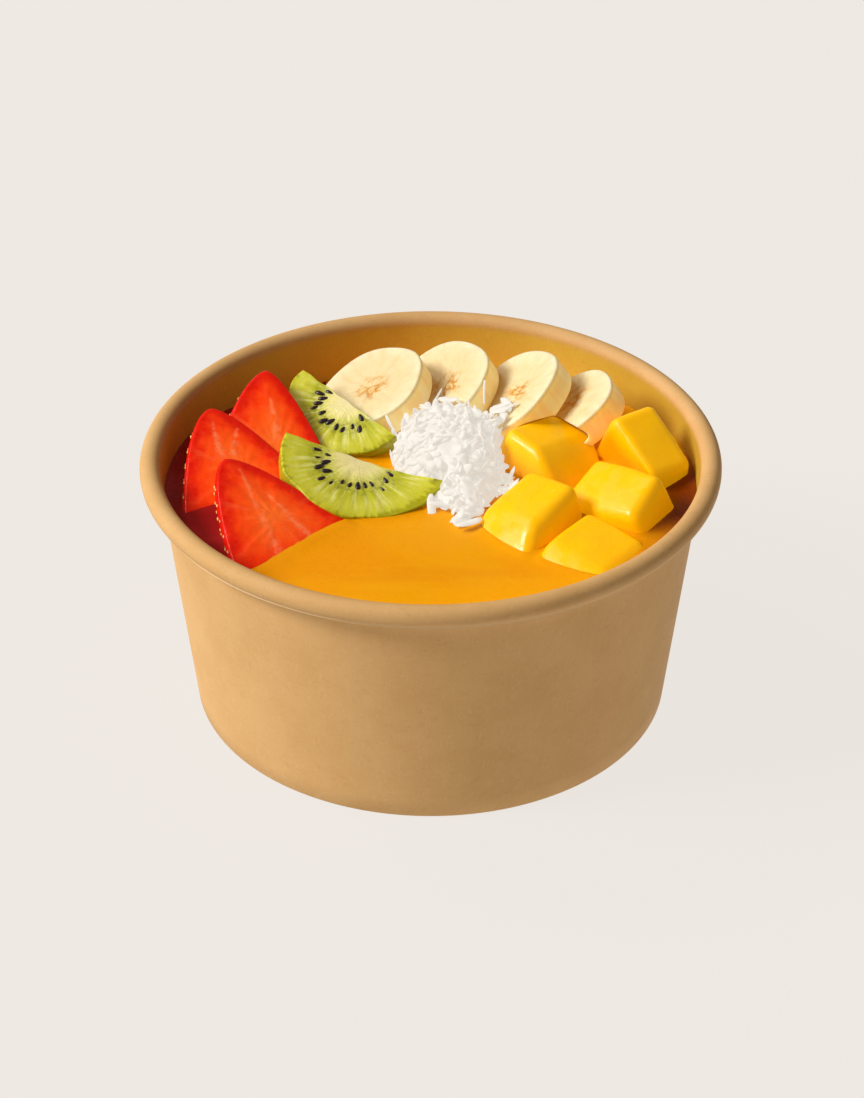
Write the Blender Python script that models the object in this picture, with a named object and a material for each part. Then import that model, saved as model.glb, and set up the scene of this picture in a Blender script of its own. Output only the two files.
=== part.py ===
# A breakfast bowl: two thick fruit purees side by side in a paper bowl, topped with banana
# slices, strawberry slices, half slices of kiwi, mango cubes and a heap of grated coconut.
# Metres, +Z up. The origin is the middle of the foot, and +Y points to the back of the bowl.
import math
import random

import bmesh
import bpy
from mathutils import Matrix, Vector
from mathutils.bvhtree import BVHTree

# Paper bowl
RIM_RADIUS = 0.0750
BOWL_HEIGHT = 0.0712
BEAD_RADIUS = 0.0027  # the rolled rim's section
FOOT_RADIUS = 0.0628
WALL_TOP_RADIUS = 0.0700  # outside of the wall, level with the lip
LIP_RADIUS = 0.0736  # the paper's cut edge, tucked in under the rolled rim
LIP_HEIGHT = 0.0656
PAPER = 0.0006
FOOT_CHAMFER = 0.0003
FOLD_HEIGHT = 0.0042  # the wall's paper turned up inside the foot
FLANGE_BOTTOM = 0.0013
BASE_UNDERSIDE = 0.0050
GAP = 0.0003
BOWL_SEGMENTS = 56

# Purees
PUREE_LEVEL = 0.0608
PUREE_SWELL = 0.0003  # height of the low waves on top
PUREE_SEGMENTS = 42
PUREE_RINGS = 6
BACK_DIP = 0.0035  # how much lower the purees lie at the back wall
BACK_DIP_FROM, BACK_DIP_TO = 0.010, 0.058
# The seam between the purees, from the left wall to the back wall, under the fruit
SEAM = [(-0.080, -0.060), (-0.046, -0.033), (-0.026, -0.010), (-0.022, 0.018), (-0.034, 0.086)]

# Pieces of fruit. centre is the middle of the upper face (of a strawberry's cut end), lean its
# slope in degrees, toward the way it faces, and turn where its own X axis points from above.
BANANAS = {
    "banana_slice_1": dict(
        centre=(-0.0165, 0.0353, 0.0690), radius=0.0153, lean=27.7, toward=-161.4, turn=20),
    "banana_slice_2": dict(
        centre=(0.0021, 0.0380, 0.0690), radius=0.0150, lean=28.4, toward=-160.6, turn=75),
    "banana_slice_3": dict(
        centre=(0.0194, 0.0310, 0.0690), radius=0.0168, lean=36.2, toward=-178.5, turn=150),
    "banana_slice_4": dict(
        centre=(0.0359, 0.0252, 0.0690), radius=0.0139, lean=33.7, toward=180.0, turn=40),
}
BANANA_THICKNESS = 0.0078
BANANA_SIDES = 26
BANANA_DISH = 0.0005

STRAWBERRIES = {
    "strawberry_slice_1": dict(
        centre=(-0.0383, 0.0012, 0.0608), size=(0.0347, 0.0205, 0.0142),
        lean=27.0, toward=-75.0, turn=101.3),
    "strawberry_slice_2": dict(
        centre=(-0.0450, -0.0088, 0.0610), size=(0.0324, 0.0200, 0.0165),
        lean=21.0, toward=-60.0, turn=116.2),
    "strawberry_slice_3": dict(
        centre=(-0.0334, -0.0295, 0.0610), size=(0.0324, 0.0198, 0.0168),
        lean=20.0, toward=-46.4, turn=130.0),
}
# size is the length to the tip, then the width on the left and on the right of the middle line
STRAWBERRY_TAPER = 0.62  # power of the distance from the tip that the width follows
STRAWBERRY_SHOULDER = 0.0070  # how far the rounded stalk end goes past the centre
STRAWBERRY_THICKNESS = 0.0058
STRAWBERRY_POINTS = 10  # along each side
ACHENE_SIZE = (0.0007, 0.00045, 0.0004)
ACHENES_A_ROW = 7

KIWIS = {
    "kiwi_slice_1": dict(
        centre=(-0.0181, 0.0024, 0.0664), radius=0.0211, lean=17.6, toward=-51.2, turn=-105.1),
    "kiwi_slice_2": dict(
        centre=(-0.0215, 0.0266, 0.0693), radius=0.0175, lean=22.0, toward=-103.2, turn=-132.6),
}
KIWI_THICKNESS = 0.0060
KIWI_SIDES = 17  # along the half circle
SEED_SIZE = (0.00095, 0.0005, 0.0004)
SEEDS_A_SLICE = 14
SEED_RING = (0.40, 0.56)  # least and most distance from the core, as shares of the radius

MANGOES = {
    "mango_cube_1": dict(
        centre=(0.0310, 0.0129, 0.0678), size=(0.0206, 0.0125), lean=15.9, toward=14, turn=45.4,
        foot_centre=(0.0318, 0.0050), foot_size=(0.0180, 0.0294), foot_turn=41.1),
    "mango_cube_2": dict(
        centre=(0.0572, 0.0049, 0.0705), size=(0.0135, 0.0186), lean=32.1, toward=-43, turn=33.9,
        foot_centre=(0.0563, 0.0123), foot_size=(0.0125, 0.0274), foot_turn=49.3),
    "mango_cube_3": dict(
        centre=(0.0467, -0.0129, 0.0673), size=(0.0132, 0.0212), lean=28.7, toward=-153, turn=46.1,
        foot_centre=(0.0500, -0.0138), foot_size=(0.0175, 0.0230), foot_turn=62.2),
    "mango_cube_4": dict(
        centre=(0.0250, -0.0170, 0.0666), size=(0.0159, 0.0162), lean=19.6, toward=-167, turn=42.4,
        foot_centre=(0.0251, -0.0230), foot_size=(0.0287, 0.0172), foot_turn=56.3),
    "mango_cube_5": dict(
        centre=(0.0412, -0.0318, 0.0631), size=(0.0161, 0.0167), lean=6.1, toward=-48, turn=49.8,
        foot_centre=(0.0396, -0.0373), foot_size=(0.0246, 0.0219), foot_turn=48.7),
}
# centre and size are of the top face, which leans; the foot is a level rectangle in the puree
MANGO_FOOT_LEVEL = 0.0555
MANGO_WALL_CLEARANCE = 0.0008
MANGO_EDGE = 0.0020

HEAP = dict(
    centre=(0.0056, 0.0038), half=(0.0158, 0.0236), peak=(0.0056, 0.0118), base=0.0575, top=0.0742)
HEAP_BROADER_BACK = 0.42  # how much the outline widens to the back
HEAP_SKEW = 0.0050  # how far its front lies to the right
# The power that rounds the mound, in front and at the back: higher is steeper at the edge
HEAP_SHOULDER = (2.1, 4.2)
HEAP_SIDES = 26
HEAP_RINGS = 5
SHREDS = 78
SHRED_LENGTH = (0.0040, 0.0085)
SHRED_WIDTH = (0.0011, 0.0018)
SHRED_THICKNESS = 0.0007
SHRED_CLEARANCE = 0.0004
GOLDEN_ANGLE = math.pi * (3 - math.sqrt(5))

CUT_GAP = 0.00035  # left between a piece and the piece or puree cut round it
# Each piece here lies under the ones that follow it
UNDER = {
    "strawberry_slice_3": ["kiwi_slice_1"],
    "strawberry_slice_2": ["strawberry_slice_3", "kiwi_slice_1"],
    "strawberry_slice_1": ["strawberry_slice_2", "strawberry_slice_3", "kiwi_slice_1"],
    "kiwi_slice_2": ["strawberry_slice_1", "kiwi_slice_1"],
    "banana_slice_1": ["kiwi_slice_2", "kiwi_slice_1", "strawberry_slice_1"],
    "banana_slice_2": ["banana_slice_1", "kiwi_slice_2", "kiwi_slice_1"],
    "banana_slice_3": ["banana_slice_2", "banana_slice_1", "mango_cube_1"],
    "banana_slice_4": ["banana_slice_3", "mango_cube_1", "mango_cube_2"],
    "mango_cube_1": ["mango_cube_4", "mango_cube_3"],
    "mango_cube_2": ["mango_cube_1", "mango_cube_3"],
    "mango_cube_3": ["mango_cube_5", "mango_cube_4"],
    "mango_cube_4": ["mango_cube_5"],
}
# No coconut lies on top of these
BARE_ON_TOP = ["kiwi_slice_1", "kiwi_slice_2", "mango_cube_1", "mango_cube_4"]
COLUMN_LIFT = 0.020
SEED = 7


def clear_scene():
    for obj in list(bpy.data.objects):
        bpy.data.objects.remove(obj, do_unlink=True)


def finish(name, colour, roughness):
    material = bpy.data.materials.new(name)
    material.use_nodes = True
    shader = material.node_tree.nodes["Principled BSDF"]
    shader.inputs["Base Color"].default_value = (*colour, 1.0)
    shader.inputs["Roughness"].default_value = roughness
    shader.inputs["Metallic"].default_value = 0.0
    return material


def solid(name, bm, material, sharp_angle=35):
    mesh = bpy.data.meshes.new(name)
    bm.to_mesh(mesh)
    bm.free()
    mesh.shade_smooth()
    mesh.set_sharp_from_angle(angle=math.radians(sharp_angle))
    mesh.materials.append(material)
    obj = bpy.data.objects.new(name, mesh)
    bpy.context.scene.collection.objects.link(obj)
    return obj


def skin(rings, ring_closed=False):
    """A surface over rings of points, the last joined to the first or both ends capped."""
    bm = bmesh.new()
    loops = [[bm.verts.new(point) for point in ring] for ring in rings]
    count = len(rings[0])
    pairs = list(zip(loops, loops[1:] + loops[:1])) if ring_closed else list(zip(loops, loops[1:]))
    for low, high in pairs:
        for i in range(count):
            j = (i + 1) % count
            bm.faces.new((low[i], low[j], high[j], high[i]))
    if not ring_closed:
        bm.faces.new(loops[0])
        bm.faces.new(loops[-1])
    bmesh.ops.recalc_face_normals(bm, faces=bm.faces)
    return bm


def turned(profile, segments, ring_closed=False):
    rings = []
    for radius, height in profile:
        angles = (math.tau * i / segments for i in range(segments))
        rings.append([(radius * math.cos(a), radius * math.sin(a), height) for a in angles])
    return skin(rings, ring_closed)


def placing(centre, lean, toward, turn):
    """Local Z leans from upright toward one side, and local X points to turn, seen from above."""
    slope = math.radians(lean)
    side = math.radians(toward)
    up = Vector((math.sin(slope) * math.cos(side), math.sin(slope) * math.sin(side), math.cos(slope)))
    along = Vector((math.cos(math.radians(turn)), math.sin(math.radians(turn)), 0.0))
    along = (along - up * along.dot(up)).normalized()
    across = up.cross(along)
    turned_axes = Matrix((along, across, up)).transposed().to_4x4()
    return Matrix.Translation(centre) @ turned_axes


def wall_outside(height):
    return FOOT_RADIUS + (WALL_TOP_RADIUS - FOOT_RADIUS) * height / LIP_HEIGHT


def wall_inside(height):
    return wall_outside(height) - PAPER


def bowl_side(material):
    """One strip of paper: folded up inside the foot, and rolled outward over the rim."""
    bead_r = RIM_RADIUS - BEAD_RADIUS
    bead_z = BOWL_HEIGHT - BEAD_RADIUS
    profile = [
        (FOOT_RADIUS - FOOT_CHAMFER, 0.0),
        (wall_outside(FOOT_CHAMFER), FOOT_CHAMFER),
        (wall_outside(LIP_HEIGHT), LIP_HEIGHT),
        (LIP_RADIUS - PAPER, LIP_HEIGHT - PAPER / 6),
        (LIP_RADIUS, LIP_HEIGHT),
        (LIP_RADIUS - PAPER / 4, LIP_HEIGHT + PAPER),
    ]
    for degrees in (-48, -25, 0, 25, 50, 75, 100, 125, 152, 180):
        angle = math.radians(degrees)
        profile.append((bead_r + BEAD_RADIUS * math.cos(angle), bead_z + BEAD_RADIUS * math.sin(angle)))
    channel_floor = PAPER * 1.5
    leaf_outside = wall_inside(0.0) - 2 * PAPER
    leaf_inside = leaf_outside - PAPER
    profile += [
        (wall_inside(bead_z * 0.97), bead_z * 0.97),
        (wall_inside(channel_floor), channel_floor),
        (leaf_outside, channel_floor),
        (leaf_outside, FOLD_HEIGHT),
        (leaf_inside, FOLD_HEIGHT),
        (leaf_inside, FOOT_CHAMFER),
        (leaf_inside + FOOT_CHAMFER, 0.0),
    ]
    return solid("bowl_side", turned(profile, BOWL_SEGMENTS, ring_closed=True), material)


def bowl_bottom(material):
    """A paper disc with its edge turned down into the foot's channel."""
    flange = PAPER - 0.0001
    top = BASE_UNDERSIDE + PAPER
    profile = [
        (wall_inside(BASE_UNDERSIDE) - GAP - flange, BASE_UNDERSIDE),
        (wall_inside(FLANGE_BOTTOM) - GAP - flange, FLANGE_BOTTOM),
        (wall_inside(FLANGE_BOTTOM) - GAP, FLANGE_BOTTOM),
        (wall_inside(top) - GAP, top),
    ]
    return solid("bowl_bottom", turned(profile, BOWL_SEGMENTS), material)


def puree_height(x, y):
    """Low slanting waves, as a spoon leaves them, and a dip toward the back wall."""
    wave = math.sin(110 * x - 70 * y) + 0.6 * math.sin(60 * x + 150 * y + 1.0)
    t = min(1.0, max(0.0, (y - BACK_DIP_FROM) / (BACK_DIP_TO - BACK_DIP_FROM)))
    return PUREE_LEVEL + PUREE_SWELL * wave - BACK_DIP * t * t * (3 - 2 * t)


def puree_plug():
    """Both purees in one, from the bowl's base up to the waved top."""
    floor = BASE_UNDERSIDE + PAPER + GAP
    angles = ring_angles(PUREE_SEGMENTS)
    foot = wall_inside(floor) - CUT_GAP
    rings = [[(foot * math.cos(a), foot * math.sin(a), floor) for a in angles]]
    level_edge = wall_inside(PUREE_LEVEL)
    for k in range(PUREE_RINGS):
        ring = []
        for a in angles:
            edge = wall_inside(puree_height(level_edge * math.cos(a), level_edge * math.sin(a))) - CUT_GAP
            x, y = (edge * (1 - k / PUREE_RINGS) * part for part in (math.cos(a), math.sin(a)))
            ring.append((x, y, puree_height(x, y)))
        rings.append(ring)
    return skin(rings)


def ring_angles(count):
    return [math.tau * i / count for i in range(count)]


def smooth_route(points, steps):
    """Catmull-Rom points through a few given ones."""
    padded = [points[0], *points, points[-1]]
    route = []
    for p0, p1, p2, p3 in zip(padded, padded[1:], padded[2:], padded[3:]):
        for step in range(steps):
            t = step / steps
            spot = []
            for a, b, c, d in zip(p0, p1, p2, p3):
                bend = (2 * a - 5 * b + 4 * c - d) * t ** 2
                twist = (3 * b - a - 3 * c + d) * t ** 3
                spot.append(0.5 * (2 * b + (c - a) * t + bend + twist))
            route.append(tuple(spot))
    return route + [points[-1]]


def side_of_seam(left):
    """A tall block that covers the bowl on one side of the seam, half a gap back from it."""
    seam = smooth_route(SEAM, 5)
    edge = []
    for i, (x, y) in enumerate(seam):
        ahead = Vector(seam[min(i + 1, len(seam) - 1)]) - Vector(seam[max(i - 1, 0)])
        normal = Vector((-ahead.y, ahead.x)).normalized() * (GAP / 2 if left else -GAP / 2)
        edge.append((x + normal.x, y + normal.y))
    reach = 2 * RIM_RADIUS
    outer = [(-reach, reach), (-reach, -reach)] if left else [(reach, reach), (reach, -reach)]
    outline = edge + outer
    return skin([[(x, y, z) for x, y in outline] for z in (0.0, BOWL_HEIGHT)])


def apply_boolean(obj, operation, other=None, collection=None, solver="EXACT"):
    modifier = obj.modifiers.new(operation.lower(), "BOOLEAN")
    modifier.operation = operation
    modifier.solver = solver
    if collection:
        modifier.operand_type = "COLLECTION"
        modifier.collection = collection
    else:
        modifier.object = other
    bpy.context.view_layer.update()
    evaluated = obj.evaluated_get(bpy.context.evaluated_depsgraph_get())
    mesh = bpy.data.meshes.new_from_object(evaluated)
    obj.modifiers.remove(modifier)
    obj.data = mesh


def keep_largest(obj):
    """Drops the scraps that a cut leaves loose."""
    bm = bmesh.new()
    bm.from_mesh(obj.data)
    unseen = set(bm.verts)
    bodies = []
    while unseen:
        body = [unseen.pop()]
        for vert in body:
            for edge in vert.link_edges:
                other = edge.other_vert(vert)
                if other in unseen:
                    unseen.remove(other)
                    body.append(other)
        bodies.append(body)
    bodies.sort(key=lambda verts: bulk(verts), reverse=True)
    for body in bodies[1:]:
        bmesh.ops.delete(bm, geom=body, context="VERTS")
    bm.to_mesh(obj.data)
    bm.free()


def bulk(verts):
    spans = [max(v.co[k] for v in verts) - min(v.co[k] for v in verts) for k in range(3)]
    return spans[0] * spans[1] * spans[2]


def helper(name, bm):
    mesh = bpy.data.meshes.new(name)
    bm.to_mesh(mesh)
    bm.free()
    obj = bpy.data.objects.new(name, mesh)
    obj.hide_render = True
    obj.display_type = "WIRE"
    bpy.context.scene.collection.objects.link(obj)
    return obj


def cutter_for(obj):
    """The piece with every face pushed out by the gap that is left round it."""
    bm = bmesh.new()
    bm.from_mesh(obj.data)
    bm.normal_update()
    moves = [(v, v.normal * CUT_GAP * min(v.calc_shell_factor(), 1.8)) for v in bm.verts]
    for vert, move in moves:
        vert.co += move
    return helper(obj.name + "_cutter", bm)


def boxes_meet(a, b):
    def box(obj):
        corners = [obj.matrix_world @ Vector(c) for c in obj.bound_box]
        return [(min(c[k] for c in corners), max(c[k] for c in corners)) for k in range(3)]

    pairs = zip(box(a), box(b))
    return all(low_a < high_b and low_b < high_a for (low_a, high_a), (low_b, high_b) in pairs)


def column_over(cutter, lift):
    """A cutter that also takes in the space over a convex piece, so that nothing is left on top."""
    points = [v.co.copy() for v in cutter.data.vertices]
    points += [point + Vector((0.0, 0.0, lift)) for point in points]
    bm = bmesh.new()
    for point in points:
        bm.verts.new(point)
    bmesh.ops.convex_hull(bm, input=list(bm.verts))
    loose = [vert for vert in bm.verts if not vert.link_faces]
    bmesh.ops.delete(bm, geom=loose, context="VERTS")
    bmesh.ops.recalc_face_normals(bm, faces=bm.faces)
    return helper(cutter.name + "_column", bm)


def cut_round(obj, cutters):
    for cutter in cutters:
        if boxes_meet(obj, cutter):
            apply_boolean(obj, "DIFFERENCE", cutter)
    keep_largest(obj)


def fuse(obj, extras):
    """Joins many small solids to one body, with a single union."""
    small = bpy.data.collections.new(obj.name + "_extras")
    bpy.context.scene.collection.children.link(small)
    for bm in extras:
        mesh = bpy.data.meshes.new("extra")
        bm.to_mesh(mesh)
        bm.free()
        small.objects.link(bpy.data.objects.new("extra", mesh))
    apply_boolean(obj, "UNION", collection=small)
    for extra in list(small.objects):
        bpy.data.objects.remove(extra, do_unlink=True)
    bpy.data.collections.remove(small)
    keep_largest(obj)


def pellet(matrix, size):
    """A small seed: an eight-sided lens, pointed at both ends of its length."""
    bm = bmesh.new()
    bmesh.ops.create_icosphere(bm, subdivisions=1, radius=1.0)
    bm.transform(matrix @ Matrix.Diagonal((*size, 1.0)))
    return bm


def layered(outline, layers, matrix):
    """Copies of an outline, each shrunk to a share of its size at its own depth."""
    return [[matrix @ Vector((x * share, y * share, z)) for x, y in outline] for share, z in layers]


def banana(name, spec, material):
    radius = spec["radius"]
    outline = []
    for a in ring_angles(BANANA_SIDES):
        r = radius * (1 + 0.016 * math.cos(5 * a) + 0.022 * math.cos(2 * a + spec["turn"]))
        outline.append((r * math.cos(a), r * math.sin(a)))
    layers = [
        (0.94, -BANANA_THICKNESS),
        (1.0, -BANANA_THICKNESS + 0.0012),
        (1.0, -0.0008),
        (0.965, 0.0),
        (0.62, -BANANA_DISH * 0.4),
        (0.25, -BANANA_DISH),
    ]
    matrix = placing(spec["centre"], spec["lean"], spec["toward"], spec["turn"])
    return solid(name, skin(layered(outline, layers, matrix)), material)


def strawberry_half_width(t, widest):
    return widest * (1 - t) ** STRAWBERRY_TAPER


def strawberry_outline(size):
    """A rounded triangle with its tip at +X and a short round stalk end at -X."""
    length, left, right = size
    outline = []
    for side, widest in ((1, left), (-1, right)):
        half = []
        for i in range(STRAWBERRY_POINTS):
            t = 1 - (i / STRAWBERRY_POINTS) ** 1.7
            half.append((t * length, side * strawberry_half_width(t, widest)))
        for i in range(5):
            a = math.pi / 2 * i / 5
            half.append((-STRAWBERRY_SHOULDER * math.sin(a), side * widest * math.cos(a)))
        outline += half if side > 0 else [(-STRAWBERRY_SHOULDER, 0.0)] + half[:0:-1]
    return outline


def strawberry(name, spec, material):
    outline = strawberry_outline(spec["size"])
    layers = [
        (0.72, -STRAWBERRY_THICKNESS),
        (0.90, -STRAWBERRY_THICKNESS * 0.72),
        (1.0, -STRAWBERRY_THICKNESS * 0.30),
        (0.99, -0.0007),
        (0.95, 0.0),
    ]
    matrix = placing(spec["centre"], spec["lean"], spec["toward"], spec["turn"])
    middle = spec["size"][0] * 0.35
    shifted = [(x - middle, y) for x, y in outline]
    rings = layered(shifted, layers, matrix @ Matrix.Translation((middle, 0, 0)))
    return solid(name, skin(rings), material), matrix


def add_achenes(piece, spec, matrix, clear_of):
    """Small dry fruits in the skin along the slice's left edge, which faces the wall."""
    tree = tree_of(clear_of)
    length, left, _ = spec["size"]
    seeds = []
    for row, (depth, share) in enumerate(((0.0011, 1.0), (0.0030, 0.955))):
        for i in range(ACHENES_A_ROW):
            t = (i + 0.4 + 0.5 * row) / (ACHENES_A_ROW + 1.0)
            slope = math.atan2(-left * STRAWBERRY_TAPER, length)
            local = Matrix.Translation((t * length, strawberry_half_width(t, left) * share, -depth))
            spot = matrix @ local @ Matrix.Rotation(slope, 4, "Z")
            if tree.find_nearest(spot.translation)[3] > SHRED_CLEARANCE + ACHENE_SIZE[0]:
                seeds.append(pellet(spot, ACHENE_SIZE))
    fuse(piece, seeds)


def kiwi(name, spec, material):
    """A half slice. Its round side points along local X, its straight cut along local Y."""
    radius = spec["radius"]
    outline = []
    for i in range(KIWI_SIDES + 1):
        a = math.pi * (i / KIWI_SIDES - 0.5)
        wobble = 1 + 0.012 * math.sin(7 * a + spec["turn"]) + 0.008 * math.sin(13 * a)
        outline.append((radius * wobble * math.cos(a) + 0.0002, radius * wobble * math.sin(a)))
    middle = radius * 0.42
    shifted = [(x - middle, y) for x, y in outline]
    layers = [
        (0.95, -KIWI_THICKNESS),
        (0.985, -KIWI_THICKNESS + 0.0010),
        (1.0, -0.0007),
        (0.98, 0.0),
    ]
    matrix = placing(spec["centre"], spec["lean"], spec["toward"], spec["turn"])
    rings = layered(shifted, layers, matrix @ Matrix.Translation((middle, 0, 0)))
    return solid(name, skin(rings), material), matrix


def add_seeds(piece, spec, matrix, rng, clear_of):
    tree = tree_of(clear_of)
    seeds = []
    for i in range(SEEDS_A_SLICE):
        a = math.pi * ((i + 0.5) / SEEDS_A_SLICE - 0.5) * 0.94
        share = rng.uniform(*SEED_RING)
        x = spec["radius"] * share * math.cos(a) + 0.0004
        y = spec["radius"] * share * math.sin(a)
        local = Matrix.Translation((x, y, -0.0001)) @ Matrix.Rotation(a, 4, "Z")
        spot = matrix @ local
        if tree.find_nearest(spot.translation)[3] > SHRED_CLEARANCE + SEED_SIZE[0]:
            seeds.append(pellet(spot, SEED_SIZE))
    fuse(piece, seeds)


def mango(name, spec, material, rng):
    """A cube cut by hand: no two sides quite parallel, and every edge soft."""
    top = placing(spec["centre"], spec["lean"], spec["toward"], spec["turn"])
    foot = placing((*spec["foot_centre"], MANGO_FOOT_LEVEL), 0.0, 0.0, spec["foot_turn"])
    bm = bmesh.new()
    bmesh.ops.create_cube(bm, size=1.0)
    for vert in bm.verts:
        low = vert.co.z < 0
        width, depth = spec["foot_size"] if low else spec["size"]
        x = vert.co.x * width + rng.uniform(-0.0006, 0.0006)
        y = vert.co.y * depth + rng.uniform(-0.0006, 0.0006)
        spot = (foot if low else top) @ Vector((x, y, rng.uniform(-0.0004, 0.0004)))
        reach = wall_inside(spot.z) - MANGO_WALL_CLEARANCE
        across = math.hypot(spot.x, spot.y)
        if across > reach:
            spot.x *= reach / across
            spot.y *= reach / across
        vert.co = spot
    edges = list(bm.edges)
    bmesh.ops.bevel(bm, geom=edges, offset=MANGO_EDGE, segments=2, profile=0.5, affect="EDGES")
    bmesh.ops.triangulate(bm, faces=list(bm.faces))
    return solid(name, bm, material, sharp_angle=60)


def heap_edge(angle):
    """The mound's outline, seen from above."""
    ragged = 1 + 0.04 * math.sin(3 * angle + 0.6) + 0.03 * math.sin(7 * angle)
    across = math.cos(angle) * (1 + HEAP_BROADER_BACK * math.sin(angle))
    return Vector((
        HEAP["centre"][0] + HEAP["half"][0] * ragged * across + HEAP_SKEW * max(0.0, -math.sin(angle)),
        HEAP["centre"][1] + HEAP["half"][1] * ragged * math.sin(angle),
    ))


def heap_point(share, angle):
    """A point on the mound: share 0 is its peak, and 1 its edge, just under the puree."""
    spot = Vector(HEAP["peak"]).lerp(heap_edge(angle), share)
    lumps = 0.0008 * math.sin(300 * spot.x + 2.0) * math.cos(260 * spot.y) * (1 - share)
    edge_height = PUREE_LEVEL - 0.0012
    front, back = HEAP_SHOULDER
    power = front + (back - front) * (0.5 + 0.5 * math.sin(angle))
    height = edge_height + (HEAP["top"] - edge_height) * (1 - share ** power) + lumps
    return Vector((spot.x, spot.y, height))


def heap_core(material):
    angles = ring_angles(HEAP_SIDES)
    rings = [[Vector((*heap_edge(a), HEAP["base"])) for a in angles]]
    for k in range(HEAP_RINGS):
        share = math.cos(math.pi / 2 * k / HEAP_RINGS)
        rings.append([heap_point(share, a) for a in angles])
    return solid("coconut_heap", skin(rings), material)


def shred(foot, along, up, length, width, bend):
    """A flat grated strip of three sections, bent up or down along its length."""
    across = along.cross(up).normalized()
    rings = []
    for share, wide in ((-0.5, 0.6), (0.0, 1.0), (0.5, 0.55)):
        middle = foot + along * length * share + up * bend * (4 * share * share)
        half_width = across * width * 0.5 * wide
        half_height = up * SHRED_THICKNESS * 0.5
        rings.append([
            middle - half_width - half_height,
            middle + half_width - half_height,
            middle + half_width + half_height,
            middle - half_width + half_height,
        ])
    return rings


def tree_of(objects):
    verts, faces = [], []
    for obj in objects:
        start = len(verts)
        verts += [obj.matrix_world @ v.co for v in obj.data.vertices]
        faces += [[start + i for i in face.vertices] for face in obj.data.polygons]
    return BVHTree.FromPolygons(verts, faces)


def is_clear(points, tree):
    """Every point is outside the neighbours and a little away from them."""
    for point in points:
        near, normal, _, distance = tree.find_nearest(point)
        if distance < SHRED_CLEARANCE or (point - near).dot(normal) < 0:
            return False
    return True


def add_shreds(core, rng, neighbours):
    tree = tree_of(neighbours)
    strips = []
    for i in range(SHREDS):
        share = math.sqrt((i + 0.5) / SHREDS)
        angle = i * GOLDEN_ANGLE
        spot = heap_point(share, angle)
        step = 0.04
        side_u = heap_point(share, angle + step) - spot
        side_v = heap_point(share + step, angle) - spot
        up = side_v.cross(side_u).normalized()
        if up.z < 0:
            up = -up
        heading = rng.uniform(0, math.tau)
        flat = Vector((math.cos(heading), math.sin(heading), rng.uniform(-0.1, 0.45)))
        along = (flat - up * flat.dot(up) * 0.75).normalized()
        lifted = (up - along * up.dot(along)).normalized()
        length = rng.uniform(*SHRED_LENGTH)
        width = rng.uniform(*SHRED_WIDTH)
        bend = rng.uniform(-0.10, 0.04) * length
        for shorten in (1.0, 0.75, 0.5):
            foot = spot + up * SHRED_THICKNESS * 0.15
            rings = shred(foot, along, lifted, length * shorten, width, bend * shorten)
            points = [p for ring in rings for p in ring]
            above = all(p.z > puree_height(p.x, p.y) + CUT_GAP for p in points)
            if above and is_clear(points, tree):
                strips.append(skin(rings))
                break
    fuse(core, strips)


def main():
    clear_scene()
    rng = random.Random(SEED)
    kraft = finish("kraft_paper", (0.66, 0.45, 0.26), 0.75)
    mango_puree = finish("mango_puree", (0.85, 0.33, 0.0), 0.3)
    berry_puree = finish("acai_puree", (0.26, 0.02, 0.03), 0.4)
    banana_flesh = finish("banana_flesh", (0.93, 0.80, 0.46), 0.45)
    strawberry_flesh = finish("strawberry_flesh", (0.78, 0.04, 0.01), 0.3)
    kiwi_flesh = finish("kiwi_flesh", (0.42, 0.50, 0.05), 0.35)
    mango_flesh = finish("mango_flesh", (1.0, 0.60, 0.0), 0.3)
    coconut_white = finish("grated_coconut", (0.90, 0.87, 0.82), 0.7)

    bowl_side(kraft)
    bowl_bottom(kraft)

    bananas = [banana(name, spec, banana_flesh) for name, spec in BANANAS.items()]
    mangoes = [mango(name, spec, mango_flesh, rng) for name, spec in MANGOES.items()]
    berries = {name: strawberry(name, spec, strawberry_flesh) for name, spec in STRAWBERRIES.items()}
    kiwis = {name: kiwi(name, spec, kiwi_flesh) for name, spec in KIWIS.items()}
    fruit = [*bananas, *mangoes]
    fruit += [piece for piece, _ in [*berries.values(), *kiwis.values()]]
    cutters = {piece.name: cutter_for(piece) for piece in fruit}
    bpy.context.view_layer.update()

    # Where pieces press on each other, the one underneath gives way.
    for piece in fruit:
        cut_round(piece, [cutters[name] for name in UNDER.get(piece.name, [])])
    core = heap_core(coconut_white)
    heap_cutter = cutter_for(core)
    columns = {name: column_over(cutters[name], COLUMN_LIFT) for name in BARE_ON_TOP}
    cut_round(core, [columns.get(name, cutter) for name, cutter in cutters.items()])
    cutters[core.name] = heap_cutter

    purees = [
        solid("mango_puree", puree_plug(), mango_puree),
        solid("acai_puree", puree_plug(), berry_puree),
    ]
    for puree, left in zip(purees, (False, True)):
        block = helper("side_block", side_of_seam(left))
        apply_boolean(puree, "INTERSECT", block)
        bpy.data.objects.remove(block, do_unlink=True)
        cut_round(puree, cutters.values())
    for cutter in [*cutters.values(), *columns.values()]:
        bpy.data.objects.remove(cutter, do_unlink=True)

    for name, (piece, matrix) in berries.items():
        others = [obj for obj in [*fruit, *purees, core] if obj is not piece]
        add_achenes(piece, STRAWBERRIES[name], matrix, others)
    for name, (piece, matrix) in kiwis.items():
        others = [obj for obj in [*fruit, core] if obj is not piece]
        add_seeds(piece, KIWIS[name], matrix, rng, others)
    add_shreds(core, rng, fruit)


main()
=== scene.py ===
import math
import random

import bmesh
import bpy
from mathutils import Matrix, Vector, noise
from mathutils.bvhtree import BVHTree


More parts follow.
